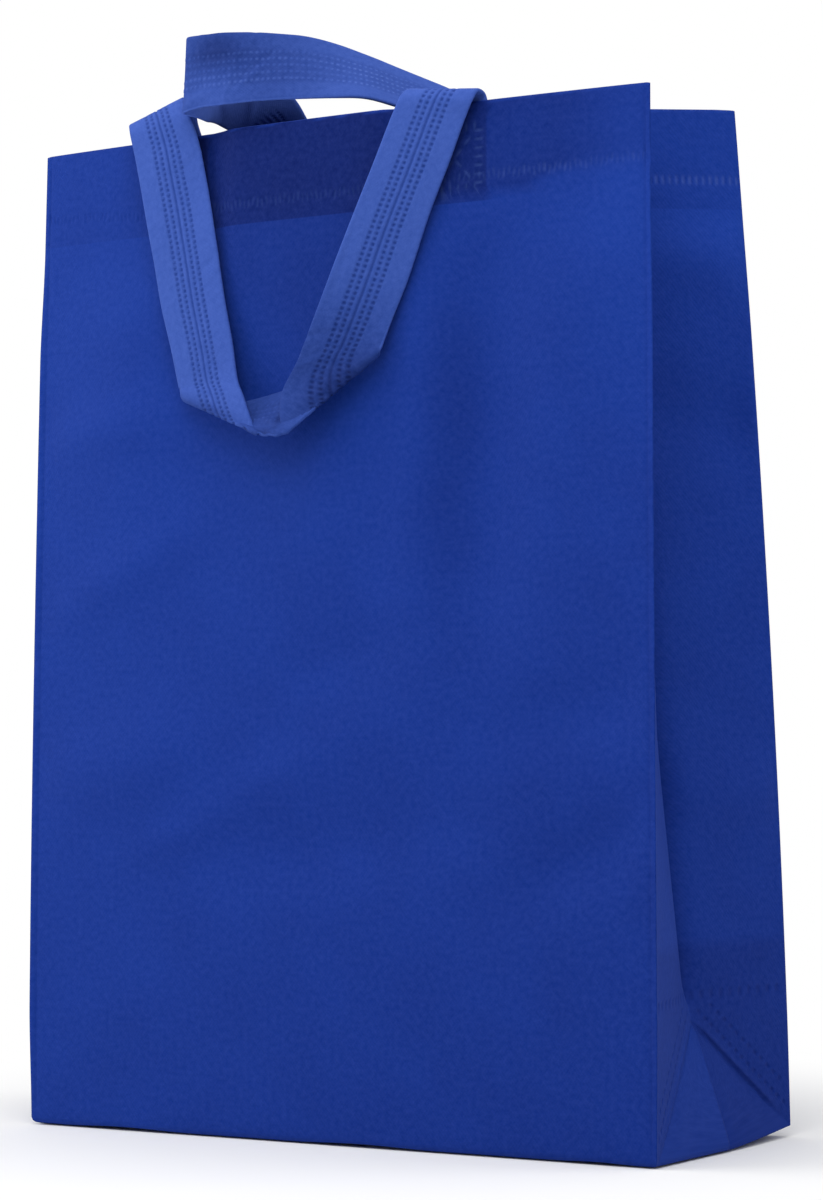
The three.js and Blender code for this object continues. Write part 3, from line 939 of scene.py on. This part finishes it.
# Cross lines of the routes: the place across in half spacings, the height over the rim in lengths of the
# welded end, the rise or the hang, the depth, and the line's span in widths of the tape
FRONT_ROUTE = [
    (-1.12, -1, END, (1, 0, 0)),
    (-1.14, -0.4, END, (1, 0, 0.06)),
    (-1.23, 0, END, (0.93, 0, 0.35)),
    (-1.27, 0.7, -0.32, (0.93, 0, 0.33)),
    (-1.275, 1, 0.19, (0.92, 0, 0.29)),
    (-1.21, 0.55, 0.47, (0.94, 0.06, 0.22)),
    (-1.15, -0.04, 0.38, (0.98, 0.13, 0.13)),
    (-1.1, -0.148, 0.3, (0.97, 0.17, 0.1)),
    (-1.015, -0.345, 0.3, (0.95, 0.17, 0.12)),
    (-0.93, -0.558, 0.36, (0.95, 0.12, 0.12)),
    (-0.855, -0.708, 0.47, (0.97, 0.04, 0.11)),
    (-0.795, -0.818, 0.56, (0.99, -0.06, 0.09)),
    (-0.745, -0.85, 0.62, (1.15, -0.15, -0.14)),
    (-0.675, -0.912, 0.64, (1.4, -0.27, -0.52)),
    (-0.645, -0.93, 0.52, (1.5, -0.4, -0.58)),
    (-0.62, -0.93, 0.26, (1.46, -0.52, -0.58)),
    (-0.49, -0.944, 0.14, (1.08, -0.58, -0.5)),
    (-0.31, -0.938, 0.1, (0.56, -0.63, -0.57)),
    (-0.12, -0.925, 0.1, (-0.03, -0.65, -0.72)),
    (0.02, -0.908, 0.12, (-0.53, -0.61, -0.85)),
    (0.135, -0.892, 0.2, (-0.95, -0.54, -0.97)),
    (0.175, -0.881, 0.4, (-1.26, -0.4, -0.99)),
    (0.175, -0.85, 0.53, (-1.4, -0.33, -0.85)),
    (0.18, -0.796, 0.43, (-1.42, -0.31, -0.6)),
    (0.25, -0.721, 0.28, (-1.27, -0.35, -0.47)),
    (0.38, -0.574, 0.2, (-1.18, -0.37, -0.3)),
    (0.565, -0.358, 0.17, (-1.03, -0.38, -0.14)),
    (0.74, -0.17, 0.18, (-0.9, -0.37, 0.09)),
    (0.855, -0.043, 0.22, (-0.88, -0.35, 0.12)),
    (0.905, 0.1, 0.3, (-0.93, -0.27, 0.1)),
    (0.92, 0.4, 0.12, (-0.95, -0.18, 0.07)),
    (0.915, 0.28, -0.31, (-0.98, -0.06, 0.04)),
    (0.93, -0.08, END, (-1, 0, 0.02)),
    (0.98, -0.4, END, (-1, 0, 0)),
    (1, -1, END, (-1, 0, 0)),
]
BACK_ROUTE = [
    (-1, -1, END, (1, 0, 0)),
    (-1, -0.4, END, (1, 0, 0)),
    (-1, -0.1, END, (1, 0, 0.02)),
    (-1, 0.12, 0.06, (1, 0, 0.05)),
    (-1, 0.31, 0.21, (0.93, 0.19, 0.12)),
    (-0.97, 0.39, 0.38, (0.78, 0.42, 0.44)),
    (-0.93, 0.49, 0.67, (0.48, 0.5, 0.76)),
    (-0.93, 0.53, 0.91, (0.07, 0.23, 1)),
    (-0.92, 0.55, 1.06, (0.02, 0.08, 1.04)),
    (-0.94, 0.57, 1.13, (0.02, 0.06, 1.05)),
    (-0.8, 0.585, 1.15, (0, 0.1, 1)),
    (-0.63, 0.58, 1.15, (-0.05, 0.15, 1)),
    (-0.43, 0.575, 1.11, (0, 0.19, 0.96)),
    (-0.16, 0.55, 1.03, (-0.15, 0.31, 0.92)),
    (0.03, 0.51, 0.92, (-0.3, 0.46, 0.82)),
    (0.17, 0.46, 0.79, (-0.34, 0.58, 0.7)),
    (0.28, 0.38, 0.63, (-0.36, 0.66, 0.63)),
    (0.39, 0.29, 0.46, (-0.2, 0.72, 0.54)),
    (0.54, 0.17, 0.3, (0.15, 0.75, 0.4)),
    (0.73, 0.16, 0.18, (0.6, 0.5, 0.28)),
    (0.9, 0.13, 0.08, (0.94, 0.06, 0.12)),
    (0.97, -0.08, END, (0.98, 0, 0.08)),
    (1, -0.4, END, (1, 0, 0)),
    (1, -1, END, (1, 0, 0)),
]
HEM_OFFSET = 2 * SHEET + SEAT_GAP + TAPE_THICKNESS / 2


def cross_line(line, rise, hem_y, middle_y):
    """The two ends of a cross line, its y from the hem or from its depth."""
    across, up, depth, span = line
    unit = TAPE_END if depth == END else rise if up > 0 else FRONT_HANG
    middle = np.array([across * HANDLE_SPACING / 2, 0, BAG_HEIGHT + up * unit])
    half_span = np.array(span, float) * TAPE_WIDTH / 2
    ends = np.stack([middle - half_span, middle + half_span])
    if depth == END:
        ends[:, 1] = hem_y(ends[:, 0], np.minimum(ends[:, 2], BAG_HEIGHT))
    else:
        ends[:, 1] += middle_y(depth, middle[0], min(middle[2], BAG_HEIGHT), abs(half_span[1]))
    return ends


def front_lines():
    """The front handle's cross lines: depth is the free space behind the tape."""
    def middle_y(share, x, z, half_depth):
        return front_y(x, z) - share * FRONT_STANDOFF - half_depth - TAPE_THICKNESS / 2
    return [cross_line(line, FRONT_RISE, lambda x, z: front_y(x, z) + HEM_OFFSET, middle_y)
            for line in FRONT_ROUTE]


def back_lines():
    """The back handle's cross lines: depth is a share of the mouth, from the back rim to the front one."""
    def middle_y(share, *_):
        return back_y(BAG_HEIGHT) + (front_y(0, BAG_HEIGHT) - back_y(BAG_HEIGHT)) * share
    return [cross_line(line, BACK_RISE, lambda x, z: back_y(z) - HEM_OFFSET, middle_y) for line in BACK_ROUTE]


def smooth_path(ends):
    """Points about TAPE_STEP apart along the two edges, which are centripetal splines through the ends."""
    ends = np.array(ends)
    padded = np.concatenate([2 * ends[:1] - ends[1:2], ends, 2 * ends[-1:] - ends[-2:-1]])
    roots = np.sqrt(np.linalg.norm(np.diff(padded, axis=0), axis=-1, keepdims=True))
    found = []
    for i in range(len(ends) - 1):
        p0, p1, p2, p3 = padded[i:i + 4]
        d0, d1, d2 = roots[i:i + 3]
        m1 = d1 * ((p1 - p0) / d0 - (p2 - p0) / (d0 + d1) + (p2 - p1) / d1)
        m2 = d1 * ((p2 - p1) / d1 - (p3 - p1) / (d1 + d2) + (p3 - p2) / d2)
        count = max(2, math.ceil(np.linalg.norm(p2 - p1, axis=1).max() / TAPE_STEP))
        for t in np.arange(count) / count:
            a, b = 2 * t ** 3 - 3 * t ** 2 + 1, t ** 3 - 2 * t ** 2 + t
            found.append(a * p1 + b * m1 + (1 - a) * p2 + (t ** 3 - t ** 2) * m2)
    return np.array(found + [ends[-1]])


# Faces of the tapes, each a height and a paint. Dots have rows across the tape, a pitch and half a size
JOINT_DOTS = ((-4.7, -2.3, 2.3, 4.7), 1.95, 0.62)
JOINT_GROOVE = 0.38
JOINT_HEIGHT, JOINT_PAINT = -0.4, -0.9
PLAIN_DOTS = ((-5.2, -2.6, 0, 2.6, 5.2), 2.05, 0.52)
PLAIN_HEIGHT, PLAIN_PAINT = 0.14, 0.95
DOT_UNEVEN = 0.3
DOT_WAVES = ((11, 2.5, 0), (-23, 3.1, 0))  # as wave takes them
DOT_WANDER, WANDER_LENGTH = 0.4, 9
BAND_PAINT, BAND_HALF = -0.3, 7.5  # darker band that the plain face's dots stand on: partly its own colour, partly painted shade
PINCHED_SHARE = 0.45  # of that paint, on the front handle
TWIST = (56, 118)  # stretch of the back tape that is twisted over


def dots(along, across, rows, pitch, half):
    """How deep a point of the tape lies in rows of weld dots, from 0 to 1."""
    nearest = along / pitch - np.round(along / pitch)
    over = np.min([np.abs(across - row) for row in rows], axis=0)
    return square_spot(nearest * pitch / half, over / half)


def wave(along, across, length, breadth, start):
    """A wave of the tape, with its lengths along and across it and its start."""
    return np.sin(along / length + across / breadth + start)


def joint_face(along, across):
    """The face where the tape's folded edges meet in a groove between rows of dots."""
    welded = np.exp(-(across / JOINT_GROOVE) ** 2) + dots(along, across, *JOINT_DOTS)
    return JOINT_HEIGHT * welded, JOINT_PAINT * welded


def plain_face(along, across):
    """The tape's other face, where the dots stand out unevenly from a darker band, partly painted shade."""
    marks = dots(along, across + DOT_WANDER * np.sin(along / WANDER_LENGTH), *PLAIN_DOTS)
    strength = 1 - DOT_UNEVEN * (1 - math.prod(wave(along, across, *row) for row in DOT_WAVES))
    band = fade(BAND_HALF - np.abs(across), reach=2)
    return PLAIN_HEIGHT * marks, PLAIN_PAINT * marks * strength + BAND_PAINT * band


def pinched_face(along, across):
    """The other face of the front handle, whose dots hardly show in the pinched foot."""
    height, paint = plain_face(along, across)
    return height, PINCHED_SHARE * paint


def twisted_face(along, across):
    """The joint face of the back handle, whose welds are pulled flat where the tape twists over."""
    height, paint = joint_face(along, across)
    welded = 1 - between(along, *TWIST, rise=8, fall=8)
    return height * welded, paint * welded


# Creases of the tapes, and the painted shade on each face of them, as rows of a swell: across the tape, along
# it, and so on
FRONT_CREASES = [
    (-6, 150, 70, 8, 1.3, 0.3), (4, 146, 60, 7, 1.1, -0.25), (-10, 110, 88, 14, 1.3, 0.2),
    (9, 74, -12, 5, 0.9, -0.3), (9, 112, -20, 5, 0.9, -0.3), (10, 116, -18, 4, 0.8, 0.25),
    (7, 228, -30, 10, 1.5, 0.4), (10, 237, -25, 8, 1.3, -0.35), (-8, 226, 40, 7, 1.3, 0.3),
    (10, 264, 88, 14, 1.3, -0.25), (5, 190.5, 50, 7, 1.3, -0.6), (11, 188, 0, 4, 1.4, 0.5),
]
# Painted shade of the front tape's two faces, darkest on its rolled folds and lower feet
FRONT_PAINTED_SHADE = (
    [(0, 222, 90, 36, 40, 4), (-3, 221, -56, 20, 4.5, 1.5), (-3, 161, 52, 18, 2, 2.4),
     (0, 150, 90, 30, 40, 0.5)],
    [(0, 190, 90, 24, 40, 3.3), (5, 193.5, 0, 4, 1.6, 1.6), (12, 188, 90, 4, 3, 1.6)],
)
BACK_CREASES = [
    (-4, 141, 50, 8, 1.1, 0.4), (2, 145, 55, 7, 1, -0.35), (5, 137, 48, 6, 1, 0.35),
    (-8, 132, 20, 9, 1.3, 0.45), (9, 122, 10, 12, 1.5, 0.4), (11, 143, -8, 12, 1.3, -0.35),
    (-10, 118, 70, 9, 1.6, 0.5), (-6, 90, 60, 14, 2, 0.6), (4, 76, 50, 12, 2, -0.6),
    (12, 130, 88, 5, 3, 0.4), (12, 152, 88, 6, 3, -0.4),
]
# Painted shade of the back tape's faces; the row below 0 is painted light under the twist
BACK_PAINTED_SHADE_AND_LIGHT = (
    [(7, 128, 90, 13, 9, 4.3), (0, 112, 90, 10, 40, 1.1), (-12, 126, 90, 24, 6, 1),
     (0, 152, 90, 18, 40, 2.3)],
    [(0, 84, 90, 40, 40, -4)],
)
# Slight waves of the tapes: a height, and two waves that are multiplied
RUMPLES = [(0.16, (7.3, 9, 1), (19, math.inf, 0.4)), (0.1, (4.1, -5, 0), (31, 14, 2))]
EDGE_ANGLES = (45, 0, -45)  # of the lines round a tape's edge


def rumple(along, across):
    """Slight waves of the tape, the same on both faces."""
    return sum(height * wave(along, across, *first) * wave(along, across, *second)
               for height, first, second in RUMPLES)


def tube_faces(rows, columns):
    """Faces of a tube of rings, and of the caps at its ends."""
    faces = []
    for j in range(rows - 1):
        for i in range(columns):
            k = (i + 1) % columns
            faces.append([j * columns + i, (j + 1) * columns + i, (j + 1) * columns + k, j * columns + k])
    return faces + [list(range(columns)), list(range((rows - 1) * columns, rows * columns))[::-1]]


def lengths_along(edge):
    """Distances of an edge's points from its first one, along it."""
    return np.concatenate([[0], np.cumsum(np.linalg.norm(np.diff(edge, axis=0), axis=1))])


def tape_object(name, lines, reliefs, creases, painted_shades):
    """The tape, whose two faces with their relief are joined by rounded edges, and its length."""
    path = smooth_path(lines)
    left, right = path[:, 0], path[:, 1]
    left_lengths, right_lengths = lengths_along(left), lengths_along(right)
    half = TAPE_THICKNESS / 2
    margin = np.linspace(half / TAPE_WIDTH, MARGIN_END, MARGIN_COLUMNS)
    shares = np.concatenate([margin, np.linspace(DOT_MARGIN, 1 - DOT_MARGIN, DOT_COLUMNS), 1 - margin[::-1]])
    middle = left[:, None] + (right - left)[:, None] * shares[None, :, None]
    over = np.broadcast_to((right - left)[:, None], middle.shape)
    normal = np.cross(np.gradient(middle, axis=0), over)
    normal /= np.linalg.norm(normal, axis=-1, keepdims=True)
    side = over / np.linalg.norm(over, axis=-1, keepdims=True)
    along = left_lengths[:, None] * (1 - shares) + right_lengths[:, None] * shares
    across = np.broadcast_to((shares - 0.5) * TAPE_WIDTH, along.shape)
    flat = np.stack([across, along], axis=-1)
    free = between(along, TAPE_END, along.max() - TAPE_END, rise=20, fall=20)
    middle = middle + ((rumple(along, across) + swells(flat, creases)) * free)[..., None] * normal
    loops, paints, flats, shades = [], [], [], []
    for sign, relief, table in zip((1, -1), reliefs, painted_shades):
        height, paint = relief(along, across)
        # painted shade and light of this face
        shade = swells(flat, table)
        order = np.s_[:, ::sign]
        loops.append((middle + normal * (sign * (half + height))[..., None])[order])
        paints.append(paint[order])
        shades.append(shade[order])
        flats.append((flat * (sign, 1))[order])
        edge = -1 if sign > 0 else 0
        for angle in EDGE_ANGLES:
            turn = math.radians(angle)
            way = sign * (normal[:, edge] * math.sin(turn) + side[:, edge] * math.cos(turn))
            loops.append((middle[:, edge] + half * way)[:, None])
            paints.append(np.zeros((len(along), 1)))
            shades.append(shade[:, [edge]])
            flats.append(flat[:, [edge]])
    ring, paint, flat, shade = (np.concatenate(rows, axis=1) for rows in (loops, paints, flats, shades))
    faces = tube_faces(*ring.shape[:2])
    tape = Sheet()
    tape.add(ring.reshape(-1, 3), faces, flat.reshape(-1, 2), paint.ravel(), shade.ravel())
    return tape.to_object(name), left_lengths[-1]


# Materials

class Nodes:
    """Adds nodes to the tree of a material or a world and links them to the shader it starts with."""

    def __init__(self, owner, shader="Principled BSDF"):
        owner.use_nodes = True
        self.owner = owner
        self.tree = owner.node_tree
        self.shader = self.tree.nodes[shader]

    def add(self, kind, inputs=(), **settings):
        """A node with its settings and inputs."""
        node = self.tree.nodes.new("ShaderNode" + kind)
        for key, value in settings.items():
            setattr(node, key, value)
        self.feed(node, dict(inputs))
        return node

    def feed(self, node, inputs):
        """Gives a node its inputs. Each is a number, a tuple or another node's socket."""
        for key, value in inputs.items():
            if isinstance(value, bpy.types.NodeSocket):
                self.tree.links.new(value, node.inputs[key])
            else:
                node.inputs[key].default_value = value

    def maths(self, operation, a, b=0.0, c=0.0):
        """The output of a Math node."""
        return self.add("Math", {0: a, 1: b, 2: c}, operation=operation).outputs[0]

    def vector(self, operation, a, b):
        """The output of a Vector Math node."""
        return self.add("VectorMath", {0: a, 1: b}, operation=operation).outputs["Vector"]


# Texture of the cloth: its noises, in turns per millimetre, and how far each part of it and the painted shade
# of the mesh change the tone
FIBRE_NOISE = {"Scale": 0.5, "Detail": 2, "Roughness": 0.6}
CLOUD_NOISE = {"Scale": 0.03, "Detail": 3}
FIBRE_TONE, CLOUD_TONE, BOND_TONE, SHADE_TONE = 0.24, 0.2, 0.012, -0.12
RED_POWER, GREEN_POWER = 1.7, 1.35  # a darker tone, painted shade among it, is a richer blue, like shade in blue cloth
PAINTED_SHEEN = 0.011  # painted glint of the fibres, a pale sheen added to the colour
BOND_RELIEF = 0.12
BOND_STRETCH = 1.3  # pitch of the bond points up the cloth, against that across it


def cloth(name, dark, plain_colour, light, grain):
    """Embossed non-woven cloth: bond points, fibres, clouds of tone, a painted sheen of the fibres, and the
    paint and painted shade of its mesh.
    """
    nodes = Nodes(bpy.data.materials.new(name))
    flat = nodes.add("UVMap", uv_map="flat").outputs["UV"]
    paint, shade = (nodes.add("Attribute", attribute_name=layer).outputs["Fac"]
                    for layer in ("paint", "shade"))
    fibres = nodes.add("TexNoise", {"Vector": flat, **FIBRE_NOISE}).outputs["Fac"]
    clouds = nodes.add("TexNoise", {"Vector": flat, **CLOUD_NOISE}).outputs["Fac"]
    axes = nodes.add("SeparateXYZ", {"Vector": flat})
    bonds = nodes.maths("MULTIPLY", *(
        nodes.maths("SINE", nodes.maths("MULTIPLY", axes.outputs[axis], math.tau / pitch))
        for axis, pitch in (("X", grain), ("Y", grain * BOND_STRETCH))))
    ramp = nodes.add("ValToRGB", {"Fac": nodes.maths("MULTIPLY_ADD", paint, 0.5, 0.5)})
    stops = ramp.color_ramp.elements
    stops.new(0.5)
    for stop, colour in zip(stops, (dark, plain_colour, light)):
        stop.color = (*colour, 1)
    # the mesh's painted shade darkens the tone, and lightens it where it is below 0
    tone = 1 - (FIBRE_TONE + CLOUD_TONE) / 2
    for part, strength in ((fibres, FIBRE_TONE), (clouds, CLOUD_TONE), (bonds, BOND_TONE),
                           (shade, SHADE_TONE)):
        tone = nodes.maths("MULTIPLY_ADD", part, strength, tone)
    red, green = (nodes.maths("POWER", tone, power) for power in (RED_POWER, GREEN_POWER))
    richer = nodes.add("CombineXYZ", {"X": red, "Y": green, "Z": tone}).outputs["Vector"]
    coloured = nodes.vector("MULTIPLY", ramp.outputs["Color"], richer)
    # painted sheen of the fibres, added to the colour
    coloured = nodes.vector("ADD", coloured, nodes.maths("MULTIPLY_ADD", fibres, PAINTED_SHEEN, -PAINTED_SHEEN / 2))
    relief = nodes.maths("MULTIPLY_ADD", bonds, BOND_RELIEF, fibres)
    bump = nodes.add("Bump", {"Height": relief, "Strength": 0.5, "Distance": 0.3 * MM}).outputs["Normal"]
    nodes.feed(nodes.shader, {"Base Color": coloured, "Normal": bump, "Roughness": 0.75,
                              "Specular IOR Level": 0.1})
    return nodes.owner


WHITE = (1, 1, 1, 1)
FLOOR_COLOUR = (0.84, 0.84, 0.84, 1)
SHADOW_END, WHITE_START = 0.12, 0.3  # metres from the middle, between which the floor turns white


def floor_material():
    """Pale floor that keeps the object's shadow near it and runs into a white background further out."""
    nodes = Nodes(bpy.data.materials.new("floor_pale"))
    nodes.feed(nodes.shader, {"Base Color": FLOOR_COLOUR, "Roughness": 0.9})
    white = nodes.add("Emission", {"Color": WHITE, "Strength": 1}).outputs[0]
    place_on_floor = nodes.add("NewGeometry").outputs["Position"]
    reach = nodes.add("VectorMath", {0: place_on_floor}, operation="LENGTH").outputs["Value"]
    far = nodes.add("MapRange", {"Value": reach, "From Min": SHADOW_END, "From Max": WHITE_START},
                    interpolation_type="SMOOTHSTEP").outputs["Result"]
    seen = nodes.add("LightPath").outputs["Is Camera Ray"]
    share = nodes.maths("MULTIPLY", far, seen)
    mixed = nodes.add("MixShader", {0: share, 1: nodes.shader.outputs[0], 2: white}).outputs[0]
    nodes.feed(nodes.tree.nodes["Material Output"], {"Surface": mixed})
    return nodes.owner


# The dressed object

SHEET_COLOURS = (0.004, 0.024, 0.20), (0.0065, 0.034, 0.255), (0.05, 0.095, 0.36)
TAPE_COLOURS = (0.012, 0.038, 0.215), (0.042, 0.092, 0.385), (0.1, 0.165, 0.5)
SHEET_GRAIN, TAPE_GRAIN = 1.3, 1.1  # pitch of the bond points across the cloth

body = Sheet()
panels = all_patches()
for panel in panels:
    body.add_patch(panel)
add_inner_face(body, panels)
bag = body.to_object("folded_sheet")
front_tape, front_length = tape_object("front_tape", front_lines(), (joint_face, pinched_face),
                                       FRONT_CREASES, FRONT_PAINTED_SHADE)
back_tape, back_length = tape_object("back_tape", back_lines(), (plain_face, twisted_face),
                                     BACK_CREASES, BACK_PAINTED_SHADE_AND_LIGHT)
sheet_cloth = cloth("sheet_cloth", *SHEET_COLOURS, SHEET_GRAIN)
tape_cloth = cloth("tape_cloth", *TAPE_COLOURS, TAPE_GRAIN)
for piece, node, slot, material in ((bag, "bag_body", "sheet", sheet_cloth),
                                    (front_tape, "front_handle", "tape", tape_cloth),
                                    (back_tape, "back_handle", "tape", tape_cloth)):
    piece.data.materials.append(material)
    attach(piece, "root")
    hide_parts(node)


# Floor, light and camera

FLOOR_RADIUS = 6
FLOOR_DROP = 0.4 * MM  # of the floor below the base
LIGHT_TARGET = Vector((0, 0, 0.2))
# Lights: a name, a place, a size and a power
LIGHTS = [
    ("key", (0.62, -1.2, 1.44), 1.4, 15),
    ("side", (-1.3, -0.7, 0.8), 1.3, 11),
    ("right", (1.25, 0.6, 0.9), 0.8, 4.6),
    ("top", (-0.1, -0.4, 2), 2.2, 21),
]
WORLD_LEVEL = 0.44
CAMERA_PLACE = (0.62746, -0.98394, 0.14228)
CAMERA_YAW, CAMERA_PITCH, CAMERA_ROLL = (math.radians(a) for a in (-32.289, 2.139, -0.489))
CAMERA_LENS, SENSOR_WIDTH = 99.2, 36


def add_floor():
    """A large pale disc just under the bag."""
    mesh = bpy.data.meshes.new("floor")
    disc = bmesh.new()
    bmesh.ops.create_circle(disc, cap_ends=True, segments=96, radius=FLOOR_RADIUS)
    disc.to_mesh(mesh)
    disc.free()
    mesh.materials.append(floor_material())
    floor = bpy.data.objects.new("floor", mesh)
    floor.location.z = -FLOOR_DROP
    bpy.context.scene.collection.objects.link(floor)


def add_area_light(name, location, size, power):
    """A square soft light that points at the bag."""
    light = bpy.data.lights.new(name, "AREA")
    light.size = size
    light.energy = power
    lamp = bpy.data.objects.new(name, light)
    lamp.location = location
    lamp.rotation_mode = "QUATERNION"
    lamp.rotation_quaternion = (Vector(location) - LIGHT_TARGET).to_track_quat("Z", "Y")
    bpy.context.scene.collection.objects.link(lamp)


def add_world():
    """An even white surround, seen as pure white by the camera."""
    nodes = Nodes(bpy.data.worlds.new("surround"), "Background")
    seen = nodes.add("LightPath").outputs["Is Camera Ray"]
    level = nodes.add("MapRange", {"Value": seen, "To Min": WORLD_LEVEL, "To Max": 1}).outputs["Result"]
    nodes.feed(nodes.shader, {"Color": WHITE, "Strength": level})
    bpy.context.scene.world = nodes.owner


def add_camera():
    """The photograph's camera: yaw from +Y towards +X, pitch up, then roll."""
    camera = bpy.data.cameras.new("camera")
    camera.lens = CAMERA_LENS
    camera.sensor_width = SENSOR_WIDTH
    made = bpy.data.objects.new("camera", camera)
    upright = Matrix.Rotation(math.pi / 2 + CAMERA_PITCH, 4, "X") @ Matrix.Rotation(CAMERA_ROLL, 4, "Z")
    made.matrix_world = Matrix.Translation(CAMERA_PLACE) @ Matrix.Rotation(-CAMERA_YAW, 4, "Z") @ upright
    bpy.context.scene.collection.objects.link(made)
    bpy.context.scene.camera = made


add_floor()
for light in LIGHTS:
    add_area_light(*light)
add_world()
add_camera()
bpy.context.scene.view_settings.view_transform = "Standard"
